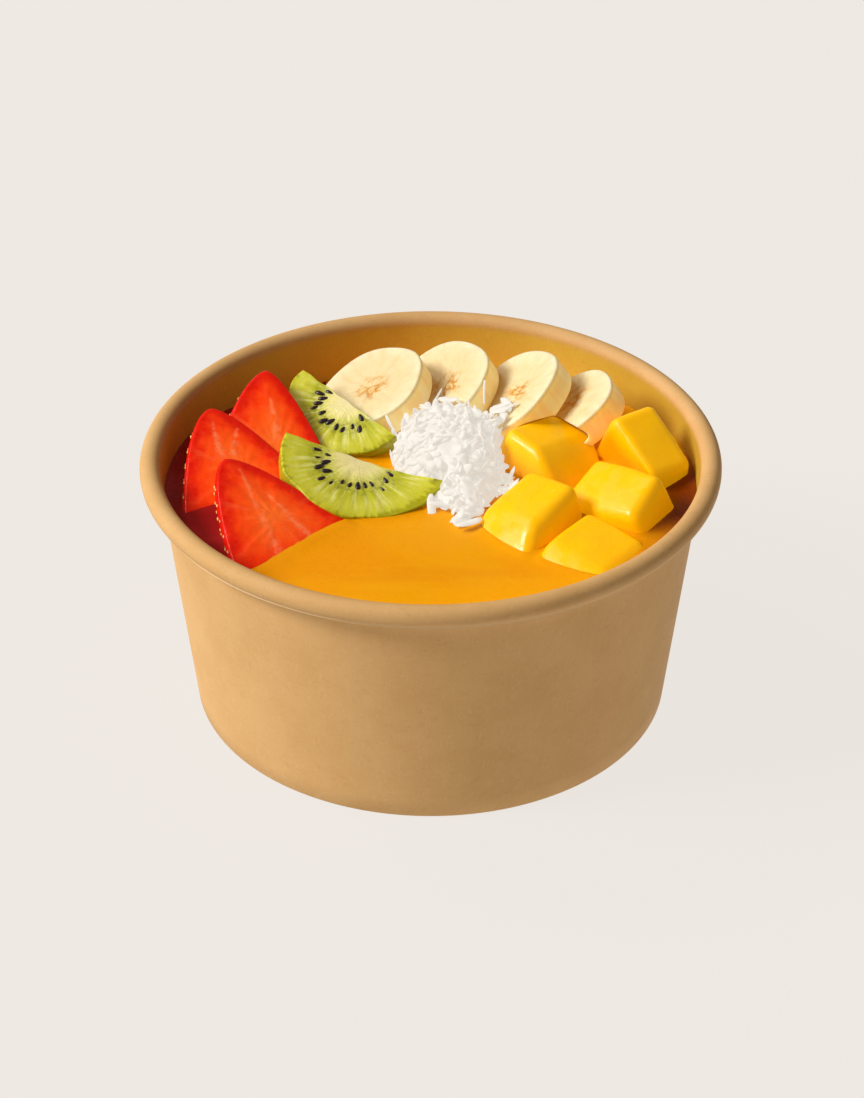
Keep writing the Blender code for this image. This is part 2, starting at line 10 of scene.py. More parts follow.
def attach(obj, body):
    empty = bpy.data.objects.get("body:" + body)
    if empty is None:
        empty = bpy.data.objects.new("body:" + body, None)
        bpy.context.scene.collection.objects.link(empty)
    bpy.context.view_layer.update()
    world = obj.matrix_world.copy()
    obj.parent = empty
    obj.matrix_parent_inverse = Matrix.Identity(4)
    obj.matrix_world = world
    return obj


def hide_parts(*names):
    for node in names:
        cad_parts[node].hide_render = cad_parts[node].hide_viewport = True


# A paper bowl of mango and acai puree with fruit and grated coconut on top. Metres, +Z up.
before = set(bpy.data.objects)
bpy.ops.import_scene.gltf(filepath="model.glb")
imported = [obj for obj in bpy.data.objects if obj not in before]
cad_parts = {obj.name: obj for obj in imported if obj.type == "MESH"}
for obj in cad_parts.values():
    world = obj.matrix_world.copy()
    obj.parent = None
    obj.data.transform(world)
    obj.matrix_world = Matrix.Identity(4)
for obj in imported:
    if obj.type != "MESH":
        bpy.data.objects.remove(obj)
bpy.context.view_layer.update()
mm = 0.001
upright = Vector((0.0, 0.0, 1.0))
print("frame loaded")


# Helpers for node trees: a socket among the values tells which tree the new node belongs to

def rgb(red, green, blue):
    def toLinear(part):
        part /= 255
        return part / 12.92 if part <= 0.04045 else ((part + 0.055) / 1.055) ** 2.4
    return (toLinear(red), toLinear(green), toLinear(blue), 1.0)


def addNode(tree, kind, sockets=None, **settings):
    made = tree.nodes.new(kind)
    for name, value in settings.items():
        setattr(made, name, value)
    for name, value in (sockets or {}).items():
        plug(value, made.inputs[name])
    return made


def plug(value, socket):
    if isinstance(value, bpy.types.NodeSocket):
        socket.id_data.links.new(value, socket)
    else:
        socket.default_value = value


def treeBehind(values):
    return next(value.id_data for value in values if isinstance(value, bpy.types.NodeSocket))


def calc(operation, *values, clamp=False):
    settings = {"operation": operation, "use_clamp": clamp}
    return addNode(treeBehind(values), "ShaderNodeMath", dict(enumerate(values)), **settings).outputs[0]


def times(first, *others):
    for other in others:
        first = calc("MULTIPLY", first, other)
    return first


def plus(first, *others):
    for other in others:
        first = calc("ADD", first, other)
    return first


def minus(first, second):
    return calc("SUBTRACT", first, second)


def mixColour(factor, first, second, mode="MIX"):
    values = {0: factor, 6: first, 7: second}
    settings = {"data_type": "RGBA", "blend_type": mode}
    return addNode(treeBehind(values.values()), "ShaderNodeMix", values, **settings).outputs[2]


def spread(value, low, high, toLow=0.0, toHigh=1.0):
    values = {"Value": value, "From Min": low, "From Max": high, "To Min": toLow, "To Max": toHigh}
    return addNode(value.id_data, "ShaderNodeMapRange", values, interpolation_type="SMOOTHSTEP").outputs[0]


def ramp(factor, stops):
    made = addNode(factor.id_data, "ShaderNodeValToRGB", {"Fac": factor})
    keys = made.color_ramp.elements
    while len(keys) < len(stops):
        keys.new(1.0)
    for key, (place, colour) in zip(keys, stops):
        key.position = place
        key.color = rgb(*colour)
    return made.outputs["Color"]


def grainNoise(vector, scale, detail=2.0, rough=0.5, distortion=0.0):
    values = {"Vector": vector, "Scale": scale, "Detail": detail, "Roughness": rough, "Distortion": distortion}
    return addNode(vector.id_data, "ShaderNodeTexNoise", values).outputs[0]


def split(vector):
    return addNode(vector.id_data, "ShaderNodeSeparateXYZ", {0: vector}).outputs


def joined(*values):
    return addNode(treeBehind(values), "ShaderNodeCombineXYZ", dict(enumerate(values))).outputs[0]


def mapped(vector, scale=(1.0, 1.0, 1.0), turn=(0.0, 0.0, 0.0), shift=(0.0, 0.0, 0.0)):
    values = {"Vector": vector, "Location": shift, "Rotation": turn, "Scale": scale}
    return addNode(vector.id_data, "ShaderNodeMapping", values).outputs[0]


def specks(place, scale, rarity, outer, inner):
    # Small round specks in a few cells of a scatter
    cells = addNode(place.id_data, "ShaderNodeTexVoronoi", {"Vector": place, "Scale": scale}).outputs
    pick = addNode(place.id_data, "ShaderNodeSeparateColor", {0: cells["Color"]}).outputs[0]
    return times(spread(cells["Distance"], outer, inner), calc("GREATER_THAN", pick, rarity))


def newTree(kind, name, inputs, outputs):
    tree = bpy.data.node_groups.new(name, kind)
    for way, sockets in (("INPUT", inputs), ("OUTPUT", outputs)):
        for label, socketKind, *value in sockets:
            socket = tree.interface.new_socket(label, in_out=way, socket_type="NodeSocket" + socketKind)
            if value:
                socket.default_value = value[0]
    return tree, tree.nodes.new("NodeGroupInput").outputs, tree.nodes.new("NodeGroupOutput").inputs


def useGroup(tree, group, values):
    return addNode(tree, "ShaderNodeGroup", values, node_tree=group).outputs


def newMaterial(name, constants):
    material = bpy.data.materials.new(name)
    material.use_nodes = True
    shader = material.node_tree.nodes["Principled BSDF"]
    for label, value in constants.items():
        shader.inputs[label].default_value = value
    return material, material.node_tree, shader.inputs


def newFlesh(name, specular, weight, scale, radius, more=None):
    # Light goes a little way into fruit and puree: weight, scale and radius of the subsurface
    constants = {"Subsurface Weight": weight, "Subsurface Scale": scale, "Subsurface Radius": radius}
    return newMaterial(name, {**constants, "Specular IOR Level": specular, **(more or {})})


def objectPlace(tree):
    return addNode(tree, "ShaderNodeTexCoord").outputs["Object"]


def stored(tree, name, output="Fac"):
    # "cut" is a place in millimetres on a piece of fruit: X and Y across its cut face, Z up from it
    return addNode(tree, "ShaderNodeAttribute", attribute_name=name).outputs[output]


def finishMaterial(shader, colour, height, strength, distance, roughness=None):
    plug(colour, shader["Base Color"])
    if roughness is not None:
        plug(roughness, shader["Roughness"])
    bump = {"Height": height, "Strength": strength, "Distance": distance}
    plug(addNode(colour.id_data, "ShaderNodeBump", bump).outputs[0], shader["Normal"])


def finishWet(shader, place, colour, wet, strength, distance, relief=None):
    values = dict(zip(("Place", "Patch", "Grain", "Dry", "Wet"), (place, *wet)))
    skin = useGroup(place.id_data, wetSkin, values)
    height = skin["Height"] if relief is None else plus(skin["Height"], relief)
    finishMaterial(shader, colour, height, strength, distance, skin["Roughness"])


# Helpers for objects

def addObject(name, data):
    made = bpy.data.objects.new(name, data)
    bpy.context.scene.collection.objects.link(made)
    return made


def placing(centre, lean, toward, turn):
    # Local Z leans from upright toward one side, and local X points to turn, seen from above
    slope, side, heading = math.radians(lean), math.radians(toward), math.radians(turn)
    up = Vector((math.sin(slope) * math.cos(side), math.sin(slope) * math.sin(side), math.cos(slope)))
    along = Vector((math.cos(heading), math.sin(heading), 0.0))
    along = (along - up * along.dot(up)).normalized()
    axes = Matrix((along, up.cross(along), up)).transposed().to_4x4()
    return Matrix.Translation(centre) @ axes


def placeOf(spec):
    return placing(spec["centre"], spec["lean"], spec["toward"], spec["turn"])


def cornerData(mesh, name, kind, label, values):
    # Stored on the face corners, so that a cut carries it over to its new points
    flat = []
    for loop in mesh.loops:
        value = values[loop.vertex_index]
        flat += list(value) if kind == "FLOAT_VECTOR" else [value]
    mesh.attributes.new(name, kind, "CORNER").data.foreach_set(label, flat)


def stackFaces(count, layers):
    # Faces between layers of count points each, and one face over each end
    faces = []
    for low in range(0, (layers - 1) * count, count):
        for i in range(count):
            j = (i + 1) % count
            faces.append((low + i, low + j, low + count + j, low + count + i))
    return faces + [tuple(range(low, low + count)) for low in (0, (layers - 1) * count)]


def makePiece(name, verts, faces, material, places=None):
    mesh = bpy.data.meshes.new(name)
    mesh.from_pydata([tuple(v) for v in verts], [], faces)
    mesh.validate()
    if places:
        cornerData(mesh, "cut", "FLOAT_VECTOR", "vector", places)
    mesh.materials.append(material)
    piece = addObject(name, mesh)
    closeUp(piece)
    return piece


def closeUp(piece):
    bm = bmesh.new()
    bm.from_mesh(piece.data)
    bmesh.ops.recalc_face_normals(bm, faces=bm.faces)
    for face in bm.faces:
        face.smooth = True
    bm.to_mesh(piece.data)
    bm.free()


def keepResult(piece, modifier):
    # Turns what the modifier makes into a plain mesh
    bpy.context.view_layer.update()
    mesh = bpy.data.meshes.new_from_object(piece.evaluated_get(bpy.context.evaluated_depsgraph_get()))
    piece.modifiers.remove(modifier)
    mesh.name = piece.name
    piece.data = mesh
    return piece


def applyBoolean(piece, operation, cutter):
    cut = piece.modifiers.new("cut", "BOOLEAN")
    cut.operation = operation
    cut.solver = "EXACT"
    cut.object = cutter
    keepResult(piece, cut)
    bpy.data.objects.remove(cutter, do_unlink=True)


def settle(piece, slot, *nodes):
    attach(piece, "root")
    if nodes:
        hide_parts(*nodes)
    return piece


def treeOf(names):
    # One search tree over the faces of the named pieces
    verts, faces = [], []
    for name in names:
        start, mesh = len(verts), bpy.data.objects[name].data
        verts += [v.co.copy() for v in mesh.vertices]
        faces += [[start + i for i in face.vertices] for face in mesh.polygons]
    return BVHTree.FromPolygons(verts, faces)


# Helpers for Geometry Nodes

def newGeometryTree(name, inputs):
    geometry = [("Geometry", "Geometry")]
    return newTree("GeometryNodeTree", name, geometry + inputs, geometry)


def runGeometryTree(piece, tree, values):
    # Each named input is set by its identifier
    modifier = piece.modifiers.new(tree.name, "NODES")
    modifier.node_group = tree
    for item in tree.interface.items_tree:
        if item.item_type == "SOCKET" and item.in_out == "INPUT" and item.name in values:
            modifier[item.identifier] = values[item.name]
    return keepResult(piece, modifier)


def pointPlace(tree):
    return addNode(tree, "GeometryNodeInputPosition").outputs[0]


def setPlace(geometry, place):
    values = {"Geometry": geometry, "Position": place}
    return addNode(place.id_data, "GeometryNodeSetPosition", values).outputs[0]


def randomValue(kind, low, high, seed):
    made = addNode(seed.id_data, "FunctionNodeRandomValue", data_type=kind)
    first, output = {"FLOAT": (2, 1), "INT": (4, 2)}[kind]
    plug(low, made.inputs[first])
    plug(high, made.inputs[first + 1])
    plug(seed, made.inputs["Seed"])
    return made.outputs[output]


def finishTree(geometry, material, result):
    tree = geometry.id_data
    realized = addNode(tree, "GeometryNodeRealizeInstances", {0: geometry}).outputs[0]
    smooth = addNode(tree, "GeometryNodeSetShadeSmooth", {0: realized}).outputs[0]
    plug(addNode(tree, "GeometryNodeSetMaterial", {0: smooth, "Material": material}).outputs[0], result[0])
    return tree


# Shared effects for the materials

def makeRayStreaks():
    # Streaks that run out from the middle of a slice
    group, given, result = newTree("ShaderNodeTree", "rayStreaks", [
        ("Place", "Vector"), ("Density", "Float", 6.0), ("Along", "Float", 0.1), ("Offset", "Float", 0.0),
    ], [("Streak", "Float"), ("Radius", "Float")])
    x, y, _ = split(given["Place"])
    radius = calc("SQRT", plus(times(x, x), times(y, y), 0.0001))
    turns = [times(calc("DIVIDE", part, radius), given["Density"]) for part in (x, y)]
    travel = plus(times(radius, given["Along"]), given["Offset"])
    plug(grainNoise(joined(*turns, travel), 1.0, detail=3.0, rough=0.55), result["Streak"])
    plug(radius, result["Radius"])
    return group


def makeWetSkin():
    # A moist surface: patches of clear juice between slightly rougher flesh
    group, given, result = newTree("ShaderNodeTree", "wetSkin", [
        ("Place", "Vector"), ("Patch", "Float", 0.4), ("Grain", "Float", 3.0), ("Dry", "Float", 0.45),
        ("Wet", "Float", 0.12),
    ], [("Roughness", "Float"), ("Height", "Float")])
    patch = grainNoise(given["Place"], given["Patch"], detail=3.0)
    grain = grainNoise(given["Place"], given["Grain"], detail=3.0, rough=0.6)
    values = {0: spread(patch, 0.42, 0.60), 2: given["Dry"], 3: given["Wet"]}
    rough = addNode(group, "ShaderNodeMix", values).outputs[0]
    plug(calc("ADD", rough, times(minus(grain, 0.5), 0.3), clamp=True), result["Roughness"])
    plug(plus(times(grain, 0.6), times(patch, 0.8)), result["Height"])
    return group


def makePaperFibres():
    # Masks for pale and dark fibres, cloudy paper and dark specks
    names = ("Fibre", "Fleck", "Mottle", "Speck", "Height")
    group, given, result = newTree(
        "ShaderNodeTree", "paperFibres", [("Place", "Vector")], [(name, "Float") for name in names])
    place = given["Place"]
    lengthways = mapped(place, (1.0, 1.0, 0.35), (0.5, 0.3, 0.0))
    crossways = mapped(place, (0.4, 0.4, 1.0), (-0.4, 0.5, 0.3))
    pale = spread(grainNoise(lengthways, 1500.0, 3.0, 0.6, 1.2), 0.52, 0.72)
    dark = spread(grainNoise(crossways, 1300.0, 3.0, 0.6, 1.2), 0.55, 0.75)
    mottle = grainNoise(place, 70.0, 4.0, 0.6)
    height = plus(times(pale, 0.5), times(grainNoise(place, 3500.0), 0.5))
    for name, value in zip(names, (pale, dark, mottle, specks(place, 130.0, 0.975, 0.06, 0.035), height)):
        plug(value, result[name])
    return group


rayStreaks = makeRayStreaks()
wetSkin = makeWetSkin()
paperFibres = makePaperFibres()


def streaks(place, density, along, offset):
    values = {"Place": place, "Density": density, "Along": along, "Offset": offset}
    return useGroup(place.id_data, rayStreaks, values)


# Materials

def kraftPaper():
    material, tree, shader = newMaterial("kraftPaper", {"Roughness": 0.68, "Specular IOR Level": 0.25})
    place = objectPlace(tree)
    paper = useGroup(tree, paperFibres, {"Place": place})
    colour = mixColour(spread(paper["Mottle"], 0.3, 0.7), rgb(206, 160, 100), rgb(212, 167, 108))
    colour = mixColour(times(paper["Fibre"], 0.14), colour, rgb(243, 214, 168))
    colour = mixColour(times(paper["Fleck"], 0.20), colour, rgb(150, 105, 60))
    colour = mixColour(times(paper["Speck"], 0.75), colour, rgb(70, 40, 20))
    # Painted shade: the inside is a deeper, more saturated gold, darker again on the right, standing in for the
    # shade within the bowl. The rolled rim is a little darker than the wall, and a painted highlight makes the
    # lip line paler
    x, y, z = split(place)
    radius = calc("SQRT", plus(times(x, x), times(y, y)))
    wall = plus(times(z, 0.11), bowl["footRadius"])
    heights = times(spread(z, *bowl["insideTop"]), spread(z, *bowl["insideFoot"]))
    inside = times(spread(minus(wall, radius), 0.0002, 0.0005), heights)
    # Painted shade: a deeper, more saturated gold inside, darker again toward the right
    tint = mixColour(spread(x, *bowl["insideRight"]), bowl["insideTint"], bowl["insideRightShadeTint"])
    colour = mixColour(inside, colour, mixColour(1.0, colour, tint, "MULTIPLY"))
    rim = calc("SUBTRACT", spread(z, *bowl["rimFrom"]), inside, clamp=True)
    colour = mixColour(rim, colour, mixColour(1.0, colour, bowl["rimTint"], "MULTIPLY"))
    # Painted highlight: a paler line along the lip under the bead
    lip = times(spread(z, *bowl["lipHighlightHeight"]), spread(radius, *bowl["lipHighlightRadius"]))
    colour = mixColour(times(lip, 0.7), colour, rgb(240, 208, 160))
    finishMaterial(shader, colour, paper["Height"], 0.35, 0.00012)
    return material


def pureeMaterial(name, deep, bright, pulpColour, subsurface):
    material, tree, shader = newFlesh(name, 0.12, 0.3, 0.003, subsurface)
    place = objectPlace(tree)
    swirl = grainNoise(mapped(place, (1.0, 3.5, 1.0), (0.0, 0.0, 0.12)), 14.0, 3.0, 0.5, 0.6)
    colour = mixColour(spread(swirl, 0.35, 0.68), rgb(*deep), rgb(*bright))
    pulp = spread(grainNoise(place, 1100.0, 3.0, 0.65), 0.60, 0.75)
    colour = mixColour(times(pulp, 0.35), colour, rgb(*pulpColour))
    # Painted shade between the cubes and the wall on the right, and a few dark specks of fruit
    nook = mapped(place, purees["shadeNookScale"], shift=purees["shadeNookShift"])
    away = addNode(tree, "ShaderNodeVectorMath", {0: nook}, operation="LENGTH").outputs["Value"]
    colour = mixColour(spread(away, 0.36, 0.05, 0.0, 0.95), colour, rgb(104, 26, 0))
    speck = specks(place, 110.0, 0.90, 0.05, 0.025)
    colour = mixColour(times(speck, 0.45), colour, rgb(150, 84, 0))
    finishWet(shader, place, colour, (90.0, 900.0, 0.42, 0.24), 0.3, 0.00018)
    return material


def bananaMaterial():
    # Painted light: the sides get a warm glow, whose colour is set below
    paintedGlow = {"Emission Strength": 0.19}
    material, tree, shader = newFlesh("bananaFlesh", 0.25, 0.65, 0.005, (1.0, 0.75, 0.4), paintedGlow)
    place = stored(tree, "cut", "Vector")
    edge = stored(tree, "edge")
    rays = streaks(place, 6.0, 0.12, 3.0)
    cloud = grainNoise(place, 0.30, 3.0, 0.55)
    colour = ramp(plus(edge, times(minus(cloud, 0.5), 0.5)), [
        (0.10, (222, 198, 148)), (0.40, (225, 204, 156)), (0.60, (224, 203, 153)), (0.80, (228, 209, 164)),
        (0.98, (232, 215, 174))])
    colour = mixColour(times(spread(rays["Streak"], 0.45, 0.7), 0.30), colour, rgb(208, 178, 118))
    # Brown creases and specks round the core
    squeezed = mapped(place, (0.42, 0.85, 0.6), (0.0, 0.0, 0.5))
    thread = calc("ABSOLUTE", minus(grainNoise(squeezed, 0.50, 4.0, 0.65, 0.6), 0.5))
    patch = spread(grainNoise(place, 0.33), 0.40, 0.56)
    nearCore = spread(rays["Radius"], 6.8, 2.0)
    crease = times(spread(thread, 0.09, 0.012), nearCore, patch)
    colour = mixColour(times(nearCore, patch, 0.40), colour, rgb(226, 184, 104))
    colour = mixColour(times(crease, 0.95), colour, rgb(198, 122, 4))
    # The sides are a tan painted lighter, to lift the shade that falls on them
    side = spread(split(place)[2], -0.45, -1.6)
    wide = grainNoise(mapped(place, (1.0, 1.0, 0.2)), 0.35)
    sideTanPaintedLighter = mixColour(spread(wide, 0.35, 0.65), rgb(250, 222, 158), rgb(255, 236, 184))
    colour = mixColour(side, colour, sideTanPaintedLighter)
    # Painted light: the sides glow warm, in place of light that comes through the flesh
    plug(mixColour(side, (0.0, 0.0, 0.0, 1.0), rgb(255, 196, 100)), shader["Emission Color"])
    relief = minus(times(rays["Streak"], 0.8), crease)
    finishWet(shader, place, colour, (0.25, 2.2, 0.55, 0.33), 0.35, 0.00025, relief)
    return material


def strawberryMaterial():
    # Painted light: the flesh glows a faint orange-red
    paintedGlow = {"Emission Color": rgb(255, 50, 0), "Emission Strength": 0.09}
    material, tree, shader = newFlesh("strawberryFlesh", 0.18, 0.2, 0.002, (1.0, 0.2, 0.05), paintedGlow)
    place = stored(tree, "cut", "Vector")
    edge = stored(tree, "edge")
    rays = streaks(mapped(place, shift=(-9.0, 0.0, 0.0)), 5.5, 0.05, 1.0)
    cloud = grainNoise(place, 0.22, 3.0, 0.55)
    colour = ramp(plus(edge, times(minus(cloud, 0.5), 0.6)), [
        (0.10, (250, 108, 34)), (0.45, (249, 84, 17)), (0.68, (242, 62, 7)), (0.86, (222, 28, 2)),
        (0.98, (204, 12, 1))])
    colour = mixColour(spread(edge, 0.90, 0.99, 0.0, 0.7), colour, rgb(214, 24, 4))
    # The right side of each slice, which lies lowest, is a deeper red
    _, across, depth = split(place)
    rightEdge = times(spread(plus(edge, times(cloud, 0.3)), 0.78, 1.12), spread(across, 0.5, -4.0))
    colour = mixColour(times(rightEdge, 0.8), colour, rgb(206, 16, 2))
    streak = times(spread(rays["Streak"], 0.54, 0.70), spread(edge, 0.97, 0.80))
    colour = mixColour(times(streak, 0.14), colour, rgb(250, 132, 80))
    broken = spread(grainNoise(place, 0.55, 3.0, 0.6), 0.36, 0.60)
    colour = mixColour(times(stored(tree, "pale"), broken, 0.55), colour, rgb(250, 150, 100))
    side = calc("MAXIMUM", spread(depth, -0.3, -0.8), spread(edge, 0.975, 0.995))
    colour = mixColour(side, colour, rgb(206, 16, 3))
    finishWet(shader, place, colour, (0.5, 3.0, 0.42, 0.2), 0.3, 0.00018, rays["Streak"])
    return material


def kiwiMaterial(name, size):
    material, tree, shader = newFlesh(name, 0.3, 0.3, 0.003, (0.6, 1.0, 0.2))
    place = stored(tree, "cut", "Vector")
    rays = streaks(mapped(place, shift=(-0.8, 0.5, 0.0)), 13.0, 0.10, 5.0)
    share = calc("DIVIDE", rays["Radius"], size / mm)
    colour = ramp(plus(share, times(minus(rays["Streak"], 0.5), 0.35)), [
        (0.0, (238, 226, 166)), (0.26, (234, 222, 146)), (0.36, (204, 200, 84)), (0.52, (176, 176, 36)),
        (0.78, (202, 198, 62)), (0.93, (194, 190, 42)), (1.0, (160, 154, 14))])
    # Pale rays and murky patches in the ring of the seeds, and a plain green side
    ring = times(spread(share, 0.25, 0.36), spread(share, 0.97, 0.7))
    colour = mixColour(times(spread(rays["Streak"], 0.50, 0.64), ring, 0.62), colour, rgb(228, 224, 146))
    seedRing = times(spread(share, 0.32, 0.42), spread(share, 0.66, 0.52))
    murk = times(spread(grainNoise(place, 0.7, 3.0), 0.48, 0.62), seedRing)
    colour = mixColour(times(murk, 0.45), colour, rgb(120, 112, 40))
    colour = mixColour(spread(split(place)[2], -0.4, -1.3), colour, rgb(172, 168, 22))
    finishWet(shader, place, colour, (0.4, 2.4, 0.4, 0.18), 0.4, 0.0003, rays["Streak"])
    return material


def mangoMaterial():
    # Painted light: the flesh glows yellow, which evens out its shading
    paintedGlow = {"Emission Color": rgb(255, 208, 0), "Emission Strength": 0.22}
    material, tree, shader = newFlesh("mangoFlesh", 0.26, 0.25, 0.002, (1.0, 0.40, 0.05), paintedGlow)
    place = stored(tree, "cut", "Vector")
    blotch = grainNoise(place, 0.16, 3.0, 0.5, 0.5)
    colour = mixColour(spread(blotch, 0.36, 0.66), rgb(236, 168, 0), rgb(240, 173, 0))
    strand = grainNoise(mapped(place, (0.3, 1.5, 1.5), (0.0, 0.2, 0.3)), 0.5, 3.0, 0.5, 0.5)
    colour = mixColour(spread(strand, 0.5, 0.75, 0.0, 0.14), colour, rgb(244, 184, 40))
    # Painted shade: the flesh turns a deeper orange down the sides, below the top face
    colour = mixColour(spread(split(place)[2], -1.5, -8.0, 0.0, 0.85), colour, rgb(224, 118, 0))
    finishWet(shader, place, colour, (0.20, 1.6, 0.42, 0.20), 0.10, 0.00010, times(strand, 0.4))
    return material


def coconutMaterial():
    # Painted light: the flakes glow near white over a darker base, evening out the shade between them
    paintedGlow = {"Emission Color": rgb(255, 249, 238), "Emission Strength": 0.60}
    material, tree, shader = newMaterial("gratedCoconut", {"Roughness": 0.5, "Specular IOR Level": 0.1, **paintedGlow})
    place = objectPlace(tree)
    tone = grainNoise(place, 400.0, 3.0, 0.6)
    colour = mixColour(spread(tone, 0.35, 0.7), rgb(132, 127, 120), rgb(148, 144, 138))
    finishMaterial(shader, colour, grainNoise(place, 2500.0, 3.0, 0.6), 0.3, 0.0001)
    return material


def seedMaterial(name, dark, pale, rough):
    material, tree, shader = newMaterial(name, {"Roughness": rough, "Specular IOR Level": 0.5})
    tone = grainNoise(objectPlace(tree), 1800.0)
    finishMaterial(shader, mixColour(spread(tone, 0.4, 0.65), rgb(*dark), rgb(*pale)), tone, 0.25, 0.00008)
    return material


# The paper bowl: one turned section, outside and inside

bowl = {
    "rimRadius": 0.0750, "height": 0.0712, "beadRadius": 0.0027, "footRadius": 0.0628,
    "wallTopRadius": 0.0700, "lipRadius": 0.0736, "lipHeight": 0.0656, "paper": 0.0006,
    "chamfer": 0.0003, "foldHeight": 0.0042, "floorHeight": 0.0056, "segments": 220, "beadSteps": 20,
    # Tints, and the heights and radii between which each one comes in: painted shade inside the bowl, darker on
    # the right, a darker rim and a painted highlight on the lip line
    "insideTint": (1.02, 1.14, 0.34, 1.0), "insideTop": (0.0700, 0.0674), "insideFoot": (0.008, 0.010),
    "insideRightShadeTint": (0.76, 0.77, 0.16, 1.0), "insideRight": (0.030, 0.068),
    "rimTint": (0.93, 0.93, 0.94, 1.0), "rimFrom": (0.0650, 0.0656),
    "lipHighlightHeight": (0.0667, 0.0660), "lipHighlightRadius": (0.0716, 0.0724),
}
kraft = kraftPaper()


def wallOutside(height):
    return bowl["footRadius"] + (bowl["wallTopRadius"] - bowl["footRadius"]) * height / bowl["lipHeight"]


def wallInside(height):
    return wallOutside(height) - bowl["paper"]


def bowlSection():
    paper, chamfer = bowl["paper"], bowl["chamfer"]
    beadMiddle = bowl["rimRadius"] - bowl["beadRadius"]
    beadHeight = bowl["height"] - bowl["beadRadius"]
    lip, lipHeight = bowl["lipRadius"], bowl["lipHeight"]
    points = [(bowl["footRadius"] - chamfer, 0.0), (wallOutside(chamfer), chamfer)]
    points += [(wallOutside(z), z) for z in (lipHeight * step / 12 for step in range(1, 12))]
    points += [
        (wallOutside(lipHeight - 0.0004), lipHeight - 0.0004), (wallOutside(lipHeight) + 0.0004, lipHeight),
        (lip - paper, lipHeight - paper / 6), (lip, lipHeight), (lip - paper / 4, lipHeight + paper),
    ]
    for step in range(bowl["beadSteps"] + 1):
        angle = math.radians(-48 + 228 * step / bowl["beadSteps"])
        across, rise = bowl["beadRadius"] * math.cos(angle), bowl["beadRadius"] * math.sin(angle)
        points.append((beadMiddle + across, beadHeight + rise))
    inner = beadHeight * 0.97
    points += [(wallInside(z), z) for z in (inner - (inner - 0.0009) * step / 12 for step in range(13))]
    leaf = wallInside(0.0) - 2 * paper
    points += [
        (leaf, 0.0009), (leaf, bowl["foldHeight"]), (leaf - paper, bowl["foldHeight"]),
        (leaf - paper, chamfer), (leaf - paper + chamfer, 0.0),
    ]
    return points


def latheTree():
    tree, given, result = newGeometryTree("turnedSection", [("Segments", "Int", 64), ("Paper", "Material")])
    count = addNode(tree, "GeometryNodeAttributeDomainSize", {0: given["Geometry"]}).outputs["Point Count"]
    grid = addNode(tree, "GeometryNodeMeshGrid", {
        "Size X": 1.0, "Size Y": 1.0,
        "Vertices X": plus(given["Segments"], 1.0), "Vertices Y": plus(count, 1.0)})
    x, y, _ = split(pointPlace(tree))
    angle = times(plus(x, 0.5), math.tau)
    row = calc("FLOORED_MODULO", calc("ROUND", times(plus(y, 0.5), count)), count)
    sample = addNode(
        tree, "GeometryNodeSampleIndex", {"Geometry": given["Geometry"], "Index": row},
        data_type="FLOAT_VECTOR", domain="POINT")
    plug(pointPlace(tree), next(s for s in sample.inputs if s.type == "VECTOR" and s.enabled))
    radius, _, height = split(next(s for s in sample.outputs if s.enabled))
    turned = joined(times(radius, calc("COSINE", angle)), times(radius, calc("SINE", angle)), height)
    merged = addNode(tree, "GeometryNodeMergeByDistance", {
        "Geometry": setPlace(grid.outputs[0], turned), "Distance": 1e-6})
    return finishTree(merged.outputs[0], given["Paper"], result)


def addPoints(name, places):
    mesh = bpy.data.meshes.new(name)
    mesh.from_pydata([tuple(place) for place in places], [], [])
    return addObject(name, mesh)


def makeBowl():
    piece = addPoints("paperBowl", [(radius, 0.0, height) for radius, height in bowlSection()])
    runGeometryTree(piece, latheTree(), {"Segments": bowl["segments"], "Paper": kraft})
    closeUp(piece)
    piece.data.set_sharp_from_angle(angle=math.radians(50))
    return piece


paperBowl = settle(makeBowl(), "kraft_paper", "bowl_side")
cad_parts["bowl_bottom"].data.materials.clear()
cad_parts["bowl_bottom"].data.materials.append(kraft)
print("bowl made")


# Slices: copies of an outline, layer over layer, with relief on the top face

def sliceLayers(thickness, under, side, top):
    # (share of the outline, depth) from the middle of the underside to the middle of the cut face, and
    # the number of the layer where the cut face starts; under and top are (share, steps)
    layers = [(share, -thickness) for share in ringShares(0.02, *under)] + side
    return layers + [(share, 0.0) for share in ringShares(top[0], 0.01, top[1])], len(layers) - 1


def slabPiece(name, spec, outline, middle, layers, relief, material, origin=(0.0, 0.0), marks=None, bend=None):
    # outline is centred on middle; relief gives the height of a point on the cut face
    verts, places, edges, pales = [], [], [], []
    matrix = placeOf(spec)
    layers, start = layers
    for index, (share, depth) in enumerate(layers):
        for x, y in outline:
            local = Vector((x * share + middle, y * share, depth))
            if index > start:
                local.z += relief(local.x, local.y, share)
            places.append(Vector((local.x - origin[0], local.y - origin[1], local.z)) / mm)
            if bend:
                local.z += bend(local.y)
            verts.append(matrix @ local)
            edges.append(share if index >= start else 1.0)
            if marks:
                pales.append(marks(local.x, local.y))
    piece = makePiece(name, verts, stackFaces(len(outline), len(layers)), material, places)
    cornerData(piece.data, "edge", "FLOAT", "value", edges)
    if marks:
        cornerData(piece.data, "pale", "FLOAT", "value", pales)
    return piece, matrix


def ringShares(first, last, steps):
    return [first + (last - first) * step / steps for step in range(steps + 1)]


